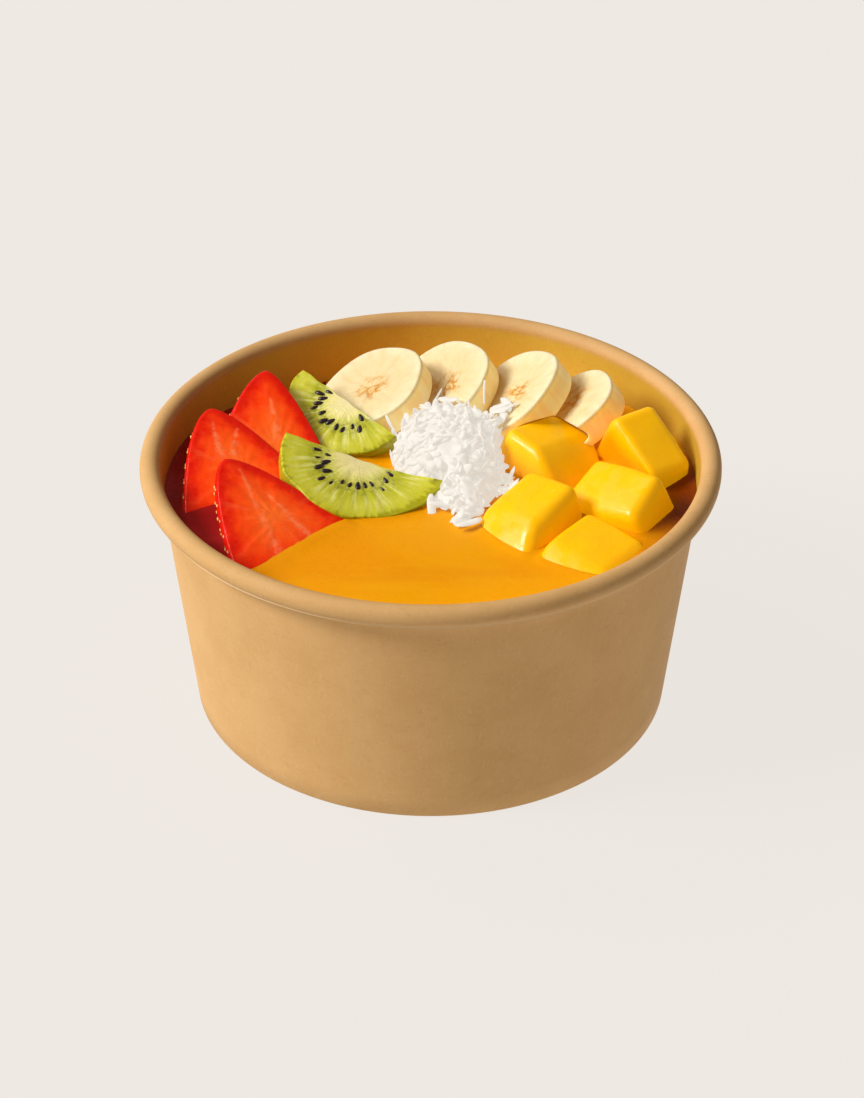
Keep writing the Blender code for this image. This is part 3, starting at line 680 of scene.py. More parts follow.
bananas = {
    "thickness": 0.0078, "dish": 0.0005, "sides": 96, "crease": 0.00035, "creaseReach": 0.38,
    "lumps": ((0.00012, 2.4), (0.00006, 0.9)),  # height and width in millimetres
    "slices": {
        "bananaSlice1": dict(
            node="banana_slice_1", centre=(-0.0165, 0.0353, 0.0690), radius=0.0153,
            lean=27.7, toward=-161.4, turn=20, core=(0.4, -0.5)),
        "bananaSlice2": dict(
            node="banana_slice_2", centre=(0.0021, 0.0380, 0.0690), radius=0.0150,
            lean=28.4, toward=-160.6, turn=75, core=(-2.0, -2.6)),
        "bananaSlice3": dict(
            node="banana_slice_3", centre=(0.0194, 0.0310, 0.0690), radius=0.0168,
            lean=36.2, toward=-178.5, turn=150, core=(-4.2, 0.0)),
        "bananaSlice4": dict(
            node="banana_slice_4", centre=(0.0359, 0.0252, 0.0690), radius=0.0139,
            lean=33.7, toward=180.0, turn=40, core=(2.7, 0.3)),
    },
}


def makeBanana(name, spec, material):
    radius, thickness = spec["radius"], bananas["thickness"]
    outline = []
    for step in range(bananas["sides"]):
        a = math.tau * step / bananas["sides"]
        r = radius * (1 + 0.016 * math.cos(5 * a) + 0.022 * math.cos(2 * a + spec["turn"]))
        outline.append((r * math.cos(a), r * math.sin(a)))
    side = [(0.94, -thickness + 0.0001), (0.98, -thickness + 0.0005), (1.0, -thickness + 0.0012)]
    wall = thickness - 0.0020
    side += [(1.0 + 0.004 * math.sin(step), -thickness + 0.0012 + wall * step / 6) for step in range(1, 6)]
    side += [(1.0, -0.0008), (0.997, -0.0004), (0.985, -0.00012), (0.965, 0.0)]
    layers = sliceLayers(thickness, (0.90, 5), side, (0.94, 26))
    coreX, coreY = (part * mm for part in spec["core"])

    def relief(x, y, share):
        # Three creases meet at the core, on a face that is dished a little
        dish = -bananas["dish"] * (1 - share ** 2)
        dx, dy = x - coreX, y - coreY
        away = math.hypot(dx, dy) / radius
        angle = math.atan2(dy, dx) + 0.5 * math.sin(away * 9 + spec["turn"])
        crease = max(0.0, math.cos(1.5 * angle)) ** 40 + max(0.0, -math.cos(1.5 * angle)) ** 40
        depth = bananas["crease"] * crease * max(0.0, 1 - away / bananas["creaseReach"]) ** 0.7
        (broad, broadWidth), (fine, fineWidth) = bananas["lumps"]
        lumps = broad * noise.noise(Vector((x, y, spec["turn"])) / (broadWidth * mm))
        lumps += fine * noise.noise(Vector((x, y, 3.0)) / (fineWidth * mm))
        return dish - depth + lumps

    return slabPiece(name, spec, outline, 0.0, layers, relief, material, (coreX, coreY))[0]


bananaFlesh = bananaMaterial()
for name, spec in bananas["slices"].items():
    settle(makeBanana(name, spec, bananaFlesh), "banana", spec["node"])
print("bananas made")


strawberries = {
    "taper": 0.62, "shoulder": 0.0070, "thickness": 0.0058, "pointsPerSide": 34, "endSteps": 14,
    "heart": 0.009, "dome": 0.0003, "ray": 0.00016, "lump": 0.00010,
    "slices": {
        "strawberrySlice1": dict(
            node="strawberry_slice_1", centre=(-0.0383, 0.0012, 0.0608), size=(0.0347, 0.0205, 0.0142),
            lean=27.0, toward=-75.0, turn=101.3, threads=((25.3, 0.1, 12.8, -0.3),)),
        "strawberrySlice2": dict(
            node="strawberry_slice_2", centre=(-0.0450, -0.0088, 0.0610), size=(0.0324, 0.0200, 0.0165),
            lean=21.0, toward=-60.0, turn=116.2, threads=((26.6, 1.4, 16.3, 3.5), (23.3, -4.1, 16.0, -0.1))),
        "strawberrySlice3": dict(
            node="strawberry_slice_3", centre=(-0.0334, -0.0295, 0.0610), size=(0.0324, 0.0198, 0.0168),
            lean=20.0, toward=-46.4, turn=130.0, threads=((27.0, -1.1, -0.7, 6.5), (17.5, -2.6, 0.4, -4.1))),
    },
    "sideShares": ((0.83, 0.88), (0.90, 0.72), (0.955, 0.52), (0.988, 0.40), (1.0, 0.28)),
    # Rows of achenes: depth, share of the width and how many; size is length, width and height
    "acheneRows": ((0.0009, 1.0, 6), (0.0024, 0.992, 6), (0.0038, 0.950, 5)),
    "acheneSize": (0.0011, 0.0007, 0.0005),
}


def halfWidth(t, widest):
    return widest * max(0.0, 1 - t) ** strawberries["taper"]


def strawberryOutline(size):
    length, left, right = size
    count, ends = strawberries["pointsPerSide"], strawberries["endSteps"]
    outline = []
    for side, widest in ((1, left), (-1, right)):
        half = []
        for i in range(count):
            t = 1 - (i / count) ** 1.7
            half.append((t * length, side * halfWidth(t, widest)))
        for i in range(ends):
            a = math.pi / 2 * i / ends
            half.append((-strawberries["shoulder"] * math.sin(a), side * widest * math.cos(a)))
        outline += half if side > 0 else [(-strawberries["shoulder"], 0.0)] + half[:0:-1]
    return outline


def acheneSpots(spec):
    # Places and headings of the small dry fruits in the skin on the left side of a slice
    length, left, _ = spec["size"]
    spots = []
    for depth, share, count in strawberries["acheneRows"]:
        for i in range(count):
            t = (i + (0.35 if depth < 0.001 else 0.75)) / (count + 1.0)
            slope = math.atan2(-left * strawberries["taper"], length)
            spots.append((Vector((t * length, halfWidth(t, left) * share, -depth)), slope))
    return spots


def makeStrawberry(name, spec, material):
    thickness = strawberries["thickness"]
    middle = spec["size"][0] * 0.35
    outline = [(x - middle, y) for x, y in strawberryOutline(spec["size"])]
    side = [(0.74, -thickness + 0.0001)]
    side += [(share, -thickness * part) for share, part in strawberries["sideShares"]]
    side += [(0.998, -0.0010), (0.985, -0.0004), (0.968, -0.0001), (0.95, 0.0)]
    layers = sliceLayers(thickness, (0.68, 4), side, (0.93, 28))

    def relief(x, y, share):
        # A low dome with rays that run out from the heart of the fruit
        dome = strawberries["dome"] * (1 - share ** 2)
        ahead = x - strawberries["heart"]
        angle = math.atan2(y, ahead)
        ray = noise.noise(Vector((math.cos(angle) * 4.5, math.sin(angle) * 4.5, spec["turn"])))
        lumps = strawberries["lump"] * noise.noise(Vector((x, y, spec["turn"])) / (1.6 * mm))
        return dome + strawberries["ray"] * ray * min(1.0, math.hypot(ahead, y) / 0.006) + lumps

    def marks(x, y):
        # Pale threads, each from one point to another on the cut face
        most = 0.0
        for x0, y0, x1, y1 in spec["threads"]:
            ahead = Vector((x1 - x0, y1 - y0))
            along = max(0.0, min(1.0, Vector((x / mm - x0, y / mm - y0)).dot(ahead) / ahead.length_squared))
            away = math.hypot(x / mm - x0 - along * ahead.x, y / mm - y0 - along * ahead.y)
            most = max(most, math.exp(-(away / (0.35 + 0.75 * along)) ** 2))
        return most

    return slabPiece(name, spec, outline, middle, layers, relief, material, marks=marks)


def seedTree():
    # A small pointed seed on every point, turned to the point's heading and up directions
    tree, given, result = newGeometryTree("seedsOnPoints", [
        ("Length", "Float", 0.002), ("Width", "Float", 0.0012), ("Height", "Float", 0.0008),
        ("Point", "Float", 0.3), ("Size Range", "Float", 0.12), ("Seed", "Int", 1), ("Look", "Material")])
    ball = addNode(tree, "GeometryNodeMeshIcoSphere", {"Radius": 0.5, "Subdivisions": 2}).outputs[0]
    x, y, z = split(pointPlace(tree))
    narrow = minus(1.0, times(plus(x, 0.5), given["Point"]))
    shape = joined(
        times(x, given["Length"]), times(y, given["Width"], narrow), times(z, given["Height"], narrow))
    up, heading = (
        addNode(tree, "GeometryNodeInputNamedAttribute", {"Name": label}, data_type="FLOAT_VECTOR").outputs[0]
        for label in ("up", "heading"))
    raised = addNode(tree, "FunctionNodeAlignRotationToVector", {"Vector": up}, axis="Z").outputs[0]
    turned = addNode(
        tree, "FunctionNodeAlignRotationToVector", {"Rotation": raised, "Vector": heading},
        axis="X", pivot_axis="Z").outputs[0]
    sizeRange = given["Size Range"]
    size = randomValue("FLOAT", minus(1.0, sizeRange), plus(1.0, sizeRange), given["Seed"])
    placed = addNode(tree, "GeometryNodeInstanceOnPoints", {
        "Points": given["Geometry"], "Instance": setPlace(ball, shape), "Rotation": turned, "Scale": size})
    return finishTree(placed.outputs[0], given["Look"], result)


def makeSeeds(name, points, sizes, point, sizeRange, seed, look):
    # points holds (place, heading, up) for each seed
    piece = addPoints(name, [place for place, _, _ in points])
    for label, column in (("heading", 1), ("up", 2)):
        attribute = piece.data.attributes.new(label, "FLOAT_VECTOR", "POINT")
        attribute.data.foreach_set("vector", [part for spot in points for part in spot[column]])
    values = dict(zip(("Length", "Width", "Height"), sizes))
    values.update({"Point": point, "Size Range": sizeRange, "Seed": seed, "Look": look})
    return runGeometryTree(piece, seedsOnPoints, values)


seedsOnPoints = seedTree()
strawberryFlesh = strawberryMaterial()
achenePoints = []
for name, spec in strawberries["slices"].items():
    piece, matrix = makeStrawberry(name, spec, strawberryFlesh)
    settle(piece, "strawberry", spec["node"])
    turnOnly = matrix.to_3x3()
    for local, slope in acheneSpots(spec):
        heading = turnOnly @ Vector((math.cos(slope), math.sin(slope), 0.0))
        up = turnOnly @ Vector((-math.sin(slope), math.cos(slope), 0.1)).normalized()
        achenePoints.append((matrix @ local, heading, up))
acheneLook = seedMaterial("acheneSkin", (214, 150, 60), (244, 206, 120), 0.35)
achenes = makeSeeds("strawberryAchenes", achenePoints, strawberries["acheneSize"], 0.35, 0.15, 4, acheneLook)
settle(achenes, "strawberry", *(spec["node"] for spec in strawberries["slices"].values()))
print("strawberries made")


kiwis = {
    "thickness": 0.0060, "arcSteps": 76, "cutSteps": 30, "seedSize": (0.0025, 0.0015, 0.0009),
    "groove": 0.00022, "grooveAt": 0.48, "ray": 0.00022, "lump": 0.00010, "fall": 0.0002,
    "slices": {
        # seeds are (share of the radius, angle in degrees) on the cut face; rise bends one end up
        "kiwiSlice1": dict(
            node="kiwi_slice_1", centre=(-0.0181, 0.0024, 0.0664), radius=0.0211,
            lean=17.6, toward=-51.2, turn=-105.1, stretch=0.10, rise=0.0032,
            seeds=(
                (0.55, -79), (0.54, -65), (0.56, -49), (0.64, -31), (0.59, -20), (0.48, -10),
                (0.475, 2), (0.46, 14), (0.44, 25), (0.43, 36), (0.45, 61), (0.42, 77),
                (0.41, -72), (0.45, -56), (0.56, 47), (0.50, -39))),
        "kiwiSlice2": dict(
            node="kiwi_slice_2", centre=(-0.0215, 0.0266, 0.0693), radius=0.0175,
            lean=22.0, toward=-103.2, turn=-132.6, stretch=0.0, rise=0.0,
            seeds=(
                (0.42, -60), (0.55, -39), (0.48, -48), (0.45, -24), (0.52, -7), (0.46, 4), (0.50, 20),
                (0.53, 32), (0.47, 49), (0.35, 73), (0.55, 60), (0.38, -80), (0.50, -70))),
    },
}


def makeKiwi(name, spec, material):
    radius, thickness = spec["radius"], kiwis["thickness"]
    middle = radius * 0.42
    outline = []
    for step in range(kiwis["arcSteps"] + 1):
        a = math.pi * (step / kiwis["arcSteps"] - 0.5)
        wobble = 1 + 0.012 * math.sin(7 * a + spec["turn"]) + 0.008 * math.sin(13 * a)
        outline.append((radius * wobble * math.cos(a) + 0.0002, radius * wobble * math.sin(a)))
    top, bottom = outline[-1][1], outline[0][1]
    for step in range(1, kiwis["cutSteps"]):
        y = top + (bottom - top) * step / kiwis["cutSteps"]
        outline.append((0.0002 + 0.00015 * math.sin(y * 900 + spec["turn"]), y))
    outline = [(x - middle, y * (1 + spec["stretch"] * max(0.0, y / radius) ** 2)) for x, y in outline]
    side = [(0.96, -thickness + 0.0001), (0.98, -thickness + 0.0005), (0.99, -thickness + 0.0012)]
    wall = thickness - 0.0019
    side += [(0.99 + 0.01 * step / 4, -thickness + 0.0012 + wall * step / 4) for step in range(1, 4)]
    side += [(1.0, -0.0007), (0.998, -0.0003), (0.99, -0.0001), (0.98, 0.0)]
    layers = sliceLayers(thickness, (0.93, 5), side, (0.96, 30))

    def relief(x, y, share):
        # A groove where the seeds sit, fine rays and a face that falls a little to the skin
        away = math.hypot(x, y) / radius
        angle = math.atan2(y, x)
        ring = math.exp(-((away - kiwis["grooveAt"]) / 0.12) ** 2)
        ray = noise.noise(Vector((math.cos(angle) * 9, math.sin(angle) * 9, away * 1.5 + spec["turn"])))
        lumps = kiwis["lump"] * noise.noise(Vector((x, y, 1.0)) / (1.8 * mm))
        rays = kiwis["ray"] * ray * min(1.0, away * 3)
        return -kiwis["groove"] * ring + rays + lumps - kiwis["fall"] * max(0.0, away - 0.8)

    def bend(y):
        return spec["rise"] * max(0.0, y / radius) ** 2

    return *slabPiece(name, spec, outline, middle, layers, relief, material, bend=bend), bend


kiwiSeedPoints = []
rng = random.Random(11)
for name, spec in kiwis["slices"].items():
    piece, matrix, bend = makeKiwi(name, spec, kiwiMaterial(name + "Flesh", spec["radius"]))
    settle(piece, "kiwi", spec["node"])
    turnOnly = matrix.to_3x3()
    for share, degrees in spec["seeds"]:
        a = math.radians(degrees)
        local = Vector((spec["radius"] * share * math.cos(a), spec["radius"] * share * math.sin(a), -0.00015))
        local.z += bend(local.y)
        a += rng.uniform(-0.35, 0.35)
        heading = turnOnly @ Vector((-math.cos(a), -math.sin(a), 0.0))
        kiwiSeedPoints.append((matrix @ local, heading, turnOnly @ upright))
kiwiSeedLook = seedMaterial("kiwiSeedSkin", (24, 12, 18), (58, 34, 40), 0.28)
kiwiSeeds = makeSeeds("kiwiSeeds", kiwiSeedPoints, kiwis["seedSize"], 0.45, 0.30, 9, kiwiSeedLook)
settle(kiwiSeeds, "kiwi", *(spec["node"] for spec in kiwis["slices"].values()))
print("kiwi made")


# Mango cubes: eight corners each, filled in smoothly with soft edges

mangoes = {
    "edge": 0.0022, "grow": 0.0010, "steps": 26, "footLevel": 0.0555, "wallClearance": 0.0008,
    "uneven": 0.0006, "unevenUp": 0.0004, "wave": 0.00012, "grain": 0.00002,
    # A slice behind a cube is cut round it and round what hangs over its top, toward the viewer's side
    "cutGap": 0.0003, "cutAbove": 0.0655, "cutAlong": (-0.0004, -0.0140, 0.0084),
    "cutSlices": (
        ("bananaSlice3", "mangoCube1"), ("bananaSlice4", "mangoCube1"), ("bananaSlice4", "mangoCube2")),
    # centre and size are of the top face, which leans; the foot is a level rectangle in the puree
    "cubes": {
        "mangoCube1": dict(
            node="mango_cube_1", centre=(0.0310, 0.0129, 0.0678), size=(0.0206, 0.0125),
            lean=15.9, toward=14, turn=45.4,
            footCentre=(0.0318, 0.0050), footSize=(0.0180, 0.0294), footTurn=41.1),
        "mangoCube2": dict(
            node="mango_cube_2", centre=(0.0572, 0.0049, 0.0705), size=(0.0135, 0.0186),
            lean=32.1, toward=-43, turn=33.9,
            footCentre=(0.0563, 0.0123), footSize=(0.0125, 0.0274), footTurn=49.3),
        "mangoCube3": dict(
            node="mango_cube_3", centre=(0.0467, -0.0129, 0.0673), size=(0.0132, 0.0212),
            lean=28.7, toward=-153, turn=46.1,
            footCentre=(0.0500, -0.0138), footSize=(0.0175, 0.0230), footTurn=62.2),
        "mangoCube4": dict(
            node="mango_cube_4", centre=(0.0250, -0.0170, 0.0666), size=(0.0159, 0.0162),
            lean=19.6, toward=-167, turn=42.4,
            footCentre=(0.0251, -0.0230), footSize=(0.0287, 0.0172), footTurn=56.3),
        "mangoCube5": dict(
            node="mango_cube_5", centre=(0.0412, -0.0318, 0.0631), size=(0.0161, 0.0167),
            lean=6.1, toward=-48, turn=49.8,
            footCentre=(0.0396, -0.0373), footSize=(0.0246, 0.0219), footTurn=48.7),
    },
}


def mangoCorners(spec, rng):
    # The same uneven corners as the solid has, drawn in the order of a new cube's corners
    aside, lift = mangoes["uneven"], mangoes["unevenUp"]
    top = placeOf(spec)
    foot = placing((*spec["footCentre"], mangoes["footLevel"]), 0.0, 0.0, spec["footTurn"])
    corners = {}
    bm = bmesh.new()
    bmesh.ops.create_cube(bm, size=1.0)
    for vert in bm.verts:
        low = vert.co.z < 0
        width, depth = spec["footSize"] if low else spec["size"]
        x = vert.co.x * width + rng.uniform(-aside, aside)
        y = vert.co.y * depth + rng.uniform(-aside, aside)
        spot = (foot if low else top) @ Vector((x, y, rng.uniform(-lift, lift)))
        reach = wallInside(spot.z) - mangoes["wallClearance"]
        across = math.hypot(spot.x, spot.y)
        if across > reach:
            spot.x *= reach / across
            spot.y *= reach / across
        corners[tuple(1 if part > 0 else 0 for part in vert.co)] = spot
    bm.free()
    return corners


def makeMango(name, spec, rng, material):
    corners = mangoCorners(spec, rng)
    steps = mangoes["steps"]
    spans = (*spec["size"], spec["centre"][2] - mangoes["footLevel"])
    soft = [min(0.8, 2 * mangoes["edge"] / part) for part in spans]
    middle = sum(corners.values(), Vector()) / 8
    toLocal = placeOf(spec).inverted()
    index, verts, places, faces = {}, [], [], []

    def vertAt(grid):
        if grid in index:
            return index[grid]
        # The grid is finer near the edges, where the surface bends
        unit = Vector([math.sin(math.pi / 2 * (2 * part / steps - 1)) for part in grid])
        inner = Vector([max(-1 + s, min(1 - s, part)) for part, s in zip(unit, soft)])
        out = Vector([(part - inPart) / s for part, inPart, s in zip(unit, inner, soft)])
        if out.length > 1e-9:
            out.normalize()
        rounded = [(inPart + outPart * s + 1) / 2 for inPart, outPart, s in zip(inner, out, soft)]
        spot = Vector((0.0, 0.0, 0.0))
        for key, corner in corners.items():
            weight = 1.0
            for bit, part in zip(key, rounded):
                weight *= part if bit else 1 - part
            spot += corner * weight
        push = (spot - middle).normalized()
        wave = noise.noise(spot / (6.0 * mm) + Vector((spec["turn"], 0, 0)))
        grain = noise.noise(spot / (1.6 * mm) + Vector((0, spec["turn"], 0)))
        spot += push * (mangoes["grow"] + mangoes["wave"] * wave + mangoes["grain"] * grain)
        index[grid] = len(verts)
        verts.append(spot)
        places.append(toLocal @ spot / mm)
        return index[grid]

    for axis in range(3):
        for side in (0, steps):
            for i in range(steps):
                for j in range(steps):
                    quad = []
                    for di, dj in ((0, 0), (1, 0), (1, 1), (0, 1)):
                        grid = [i + di, j + dj]
                        grid.insert(axis, side)
                        quad.append(vertAt(tuple(grid)))
                    faces.append(quad)
    return makePiece(name, verts, faces, material, places)


def takeHull(piece, spots):
    # Cuts away the smallest convex block that holds the spots
    hull = bmesh.new()
    for spot in spots:
        hull.verts.new(spot)
    bmesh.ops.convex_hull(hull, input=list(hull.verts))
    loose = [vert for vert in hull.verts if not vert.link_faces]
    bmesh.ops.delete(hull, geom=loose, context="VERTS")
    bmesh.ops.recalc_face_normals(hull, faces=hull.faces)
    mesh = bpy.data.meshes.new("cutter")
    hull.to_mesh(mesh)
    hull.free()
    applyBoolean(piece, "DIFFERENCE", addObject("cutter", mesh))


def cutRound(piece, other):
    bm = bmesh.new()
    bm.from_mesh(other.data)
    spots = [vert.co + vert.normal * mangoes["cutGap"] for vert in bm.verts]
    bm.free()
    takeHull(piece, spots)
    top = [spot for spot in spots if spot.z > mangoes["cutAbove"]]
    takeHull(piece, top + [spot + Vector(mangoes["cutAlong"]) for spot in top])


mangoFlesh = mangoMaterial()
rng = random.Random(7)
for name, spec in mangoes["cubes"].items():
    settle(makeMango(name, spec, rng, mangoFlesh), "mango", spec["node"])
for name, cube in mangoes["cutSlices"]:
    cutRound(bpy.data.objects[name], bpy.data.objects[cube])
print("mango made")


# The purees: one plug of the bowl's inside, parted along a seam

purees = {
    "level": 0.0608, "swell": 0.0003, "dip": 0.0035, "dipFrom": 0.010, "dipTo": 0.058, "gap": 0.0003,
    "hollowAt": (-0.031, 0.056), "hollowReach": 0.013, "hollow": 0.0030,
    "segments": 260, "rings": 90, "meniscus": 0.0006, "meniscusReach": 0.0011, "wallRise": 0.0005,
    "wallReach": 0.0012, "inset": 0.00012, "sweep": 0.00016, "bubble": 0.000025,
    "blockReach": 0.15, "blockTop": 0.09,
    # Where the painted shade between the cubes and the right wall sits on the puree
    "shadeNookScale": (16.0, 8.5, 0.0), "shadeNookShift": (-1.075, 0.09, 0.0),
    "seam": [(-0.080, -0.060), (-0.046, -0.033), (-0.026, -0.010), (-0.022, 0.018), (-0.034, 0.086)],
}


def pureeHeight(x, y):
    wave = math.sin(110 * x - 70 * y) + 0.6 * math.sin(60 * x + 150 * y + 1.0)
    t = min(1.0, max(0.0, (y - purees["dipFrom"]) / (purees["dipTo"] - purees["dipFrom"])))
    hollowX, hollowY = purees["hollowAt"]
    hollow = math.exp(-((x - hollowX) ** 2 + (y - hollowY) ** 2) / purees["hollowReach"] ** 2)
    height = purees["level"] + purees["swell"] * wave
    return height - purees["dip"] * t * t * (3 - 2 * t) - purees["hollow"] * hollow


def pureeRelief(x, y):
    # Fine ridges of the spoon's sweep and tiny bubbles
    sweep = noise.noise(Vector((x * 18, y * 90, 0.3)))
    grain = noise.noise(Vector((x, y, 0.0)) / (1.7 * mm))
    return purees["sweep"] * sweep + purees["bubble"] * grain


def smoothRoute(points, steps):
    padded = [points[0], *points, points[-1]]
    route = []
    for p0, p1, p2, p3 in zip(padded, padded[1:], padded[2:], padded[3:]):
        for step in range(steps):
            t = step / steps
            spot = []
            for a, b, c, d in zip(p0, p1, p2, p3):
                bend = (2 * a - 5 * b + 4 * c - d) * t ** 2
                twist = (3 * b - a - 3 * c + d) * t ** 3
                spot.append(0.5 * (2 * b + (c - a) * t + bend + twist))
            route.append(tuple(spot))
    return route + [points[-1]]


def seamOutline(left):
    # The seam, moved a hair to its own side, and two far corners
    route = smoothRoute(purees["seam"], 12)
    outline = []
    for i, (x, y) in enumerate(route):
        ahead = Vector(route[min(i + 1, len(route) - 1)]) - Vector(route[max(i - 1, 0)])
        aside = Vector((-ahead.y, ahead.x)).normalized() * (0.00004 if left else -0.00004)
        outline.append((x + aside.x, y + aside.y))
    reach = purees["blockReach"]
    farX = -reach if left else reach
    return outline + [(farX, reach), (farX, -reach)]


def makePuree(name, left, material):
    segments, rings, inset = purees["segments"], purees["rings"], purees["inset"]
    floor = bowl["floorHeight"] + purees["gap"]
    angles = [math.tau * i / segments for i in range(segments)]
    verts = []
    foot = wallInside(floor) - inset
    for share in (0.01, 1.0):
        verts += [(foot * share * math.cos(a), foot * share * math.sin(a), floor) for a in angles]
    levelEdge = wallInside(purees["level"])
    for k in range(rings + 1):
        share = 1 - k / (rings + 0.5)
        for a in angles:
            height = pureeHeight(levelEdge * math.cos(a), levelEdge * math.sin(a))
            edge = wallInside(height + purees["wallRise"]) - inset
            x, y = edge * share * math.cos(a), edge * share * math.sin(a)
            z = pureeHeight(x, y) + pureeRelief(x, y)
            z += purees["wallRise"] * math.exp(-(1 - share) * edge / purees["wallReach"])
            near, normal, _, distance = fruitTree.find_nearest(Vector((x, y, z)), 0.004)
            if near is not None:
                outside = (Vector((x, y, z)) - near).dot(normal) > 0
                z += purees["meniscus"] * (math.exp(-distance / purees["meniscusReach"]) if outside else 1.0)
            verts.append((x, y, z))
    piece = makePiece(name, verts, stackFaces(segments, rings + 3), material)
    outline = seamOutline(left)
    block = [(x, y, z) for z in (0.0, purees["blockTop"]) for x, y in outline]
    applyBoolean(piece, "INTERSECT", makePiece("sideBlock", block, stackFaces(len(outline), 2), material))
    piece.data.shade_smooth()
    piece.data.set_sharp_from_angle(angle=math.radians(60))
    return piece


fruitTree = treeOf([*bananas["slices"], *strawberries["slices"], *kiwis["slices"], *mangoes["cubes"]])
mangoBlend = pureeMaterial("mangoPuree", (228, 144, 0), (236, 159, 0), (206, 112, 0), (1.0, 0.5, 0.1))
acaiBlend = pureeMaterial("acaiPuree", (150, 14, 14), (178, 34, 34), (110, 10, 16), (1.0, 0.15, 0.15))
settle(makePuree("mangoPuree", False, mangoBlend), "mango_puree", "mango_puree")
settle(makePuree("acaiPuree", True, acaiBlend), "acai_puree", "acai_puree")
print("purees made")


# Grated coconut: a core of its own with loose flakes all over it

coconut = {
    "centre": (0.0056, 0.0038), "half": (0.0158, 0.0236), "peak": (0.0056, 0.0118), "base": 0.0575,
    "top": 0.0742, "broaderBack": 0.42, "skew": 0.0050, "shoulder": (2.1, 4.2), "sides": 72, "rings": 18,
    "sink": 0.0012, "lump": 0.0007, "castFrom": 0.12,
    "coreShare": 0.93, "bareFruit": ("kiwiSlice1", "kiwiSlice2", "mangoCube1", "mangoCube4"),
    "flakes": 1050, "length": (0.0036, 0.0078), "width": (0.0015, 0.0027), "thickness": 0.0006,
    "curl": 0.05, "tilt": 0.95, "seed": 5, "clearance": 0.0002,
    # Kinds of flake: share of the curl, taper and twist
    "kinds": ((1.0, 0.2, 0.6), (-0.4, 0.4, -0.9), (0.4, -0.2, 1.1), (1.3, 0.1, -0.3)),
    # Loose flakes: across, along, reach and how many
    "loose": (
        (-0.0085, 0.0175, 0.0042, 70), (0.0185, 0.0205, 0.0042, 80), (0.0195, -0.0030, 0.0040, 46),
        (0.0165, -0.0110, 0.0030, 16), (0.0015, -0.0140, 0.0030, 16), (-0.0015, -0.0139, 0.0006, 2),
        (0.0080, -0.0190, 0.0050, 34), (0.0020, 0.0270, 0.0040, 24), (0.0120, 0.0250, 0.0040, 24)),
    "looseLift": (0.0007, 0.0019), "looseSize": 0.0014,
}


def heapEdge(angle):
    ragged = 1 + 0.04 * math.sin(3 * angle + 0.6) + 0.03 * math.sin(7 * angle)
    across = math.cos(angle) * (1 + coconut["broaderBack"] * math.sin(angle))
    (x, y), (halfX, halfY) = coconut["centre"], coconut["half"]
    aside = coconut["skew"] * max(0.0, -math.sin(angle))
    return Vector((x + halfX * ragged * across + aside, y + halfY * ragged * math.sin(angle)))


def heapPoint(share, angle):
    spot = Vector(coconut["peak"]).lerp(heapEdge(angle), share)
    edgeHeight = purees["level"] - coconut["sink"]
    front, back = coconut["shoulder"]
    power = front + (back - front) * (0.5 + 0.5 * math.sin(angle))
    height = edgeHeight + (coconut["top"] - edgeHeight) * (1 - share ** power)
    lumps = coconut["lump"] * noise.noise(Vector((spot.x, spot.y, 0.0)) / (3.5 * mm)) * (1 - share)
    return Vector((spot.x, spot.y, height + lumps))


def underFruit(point, bareTree):
    # No coconut stands on the kiwi and the mango: there the core dips below them
    hit = bareTree.ray_cast(Vector((point[0], point[1], coconut["castFrom"])), -upright)
    if hit[0] is None:
        return point
    return (point[0], point[1], max(coconut["base"], min(point[2], hit[0].z - coconut["sink"])))


def heapCore(material, bareTree):
    sides, rings, coreShare = coconut["sides"], coconut["rings"], coconut["coreShare"]
    peak = Vector(coconut["peak"])
    angles = [math.tau * i / sides for i in range(sides)]
    verts = [(*peak.lerp(heapEdge(a), coreShare), coconut["base"]) for a in angles]
    for k in range(rings + 1):
        share = math.cos(math.pi / 2 * k / (rings + 0.3))
        for a in angles:
            point = heapPoint(share, a)
            flat = peak.lerp(Vector(point[:2]), coreShare)
            height = coconut["base"] + (point.z - coconut["base"]) * coreShare
            verts.append(underFruit((flat.x, flat.y, height), bareTree))
    return makePiece("coconutCore", verts, stackFaces(sides, rings + 2), material)


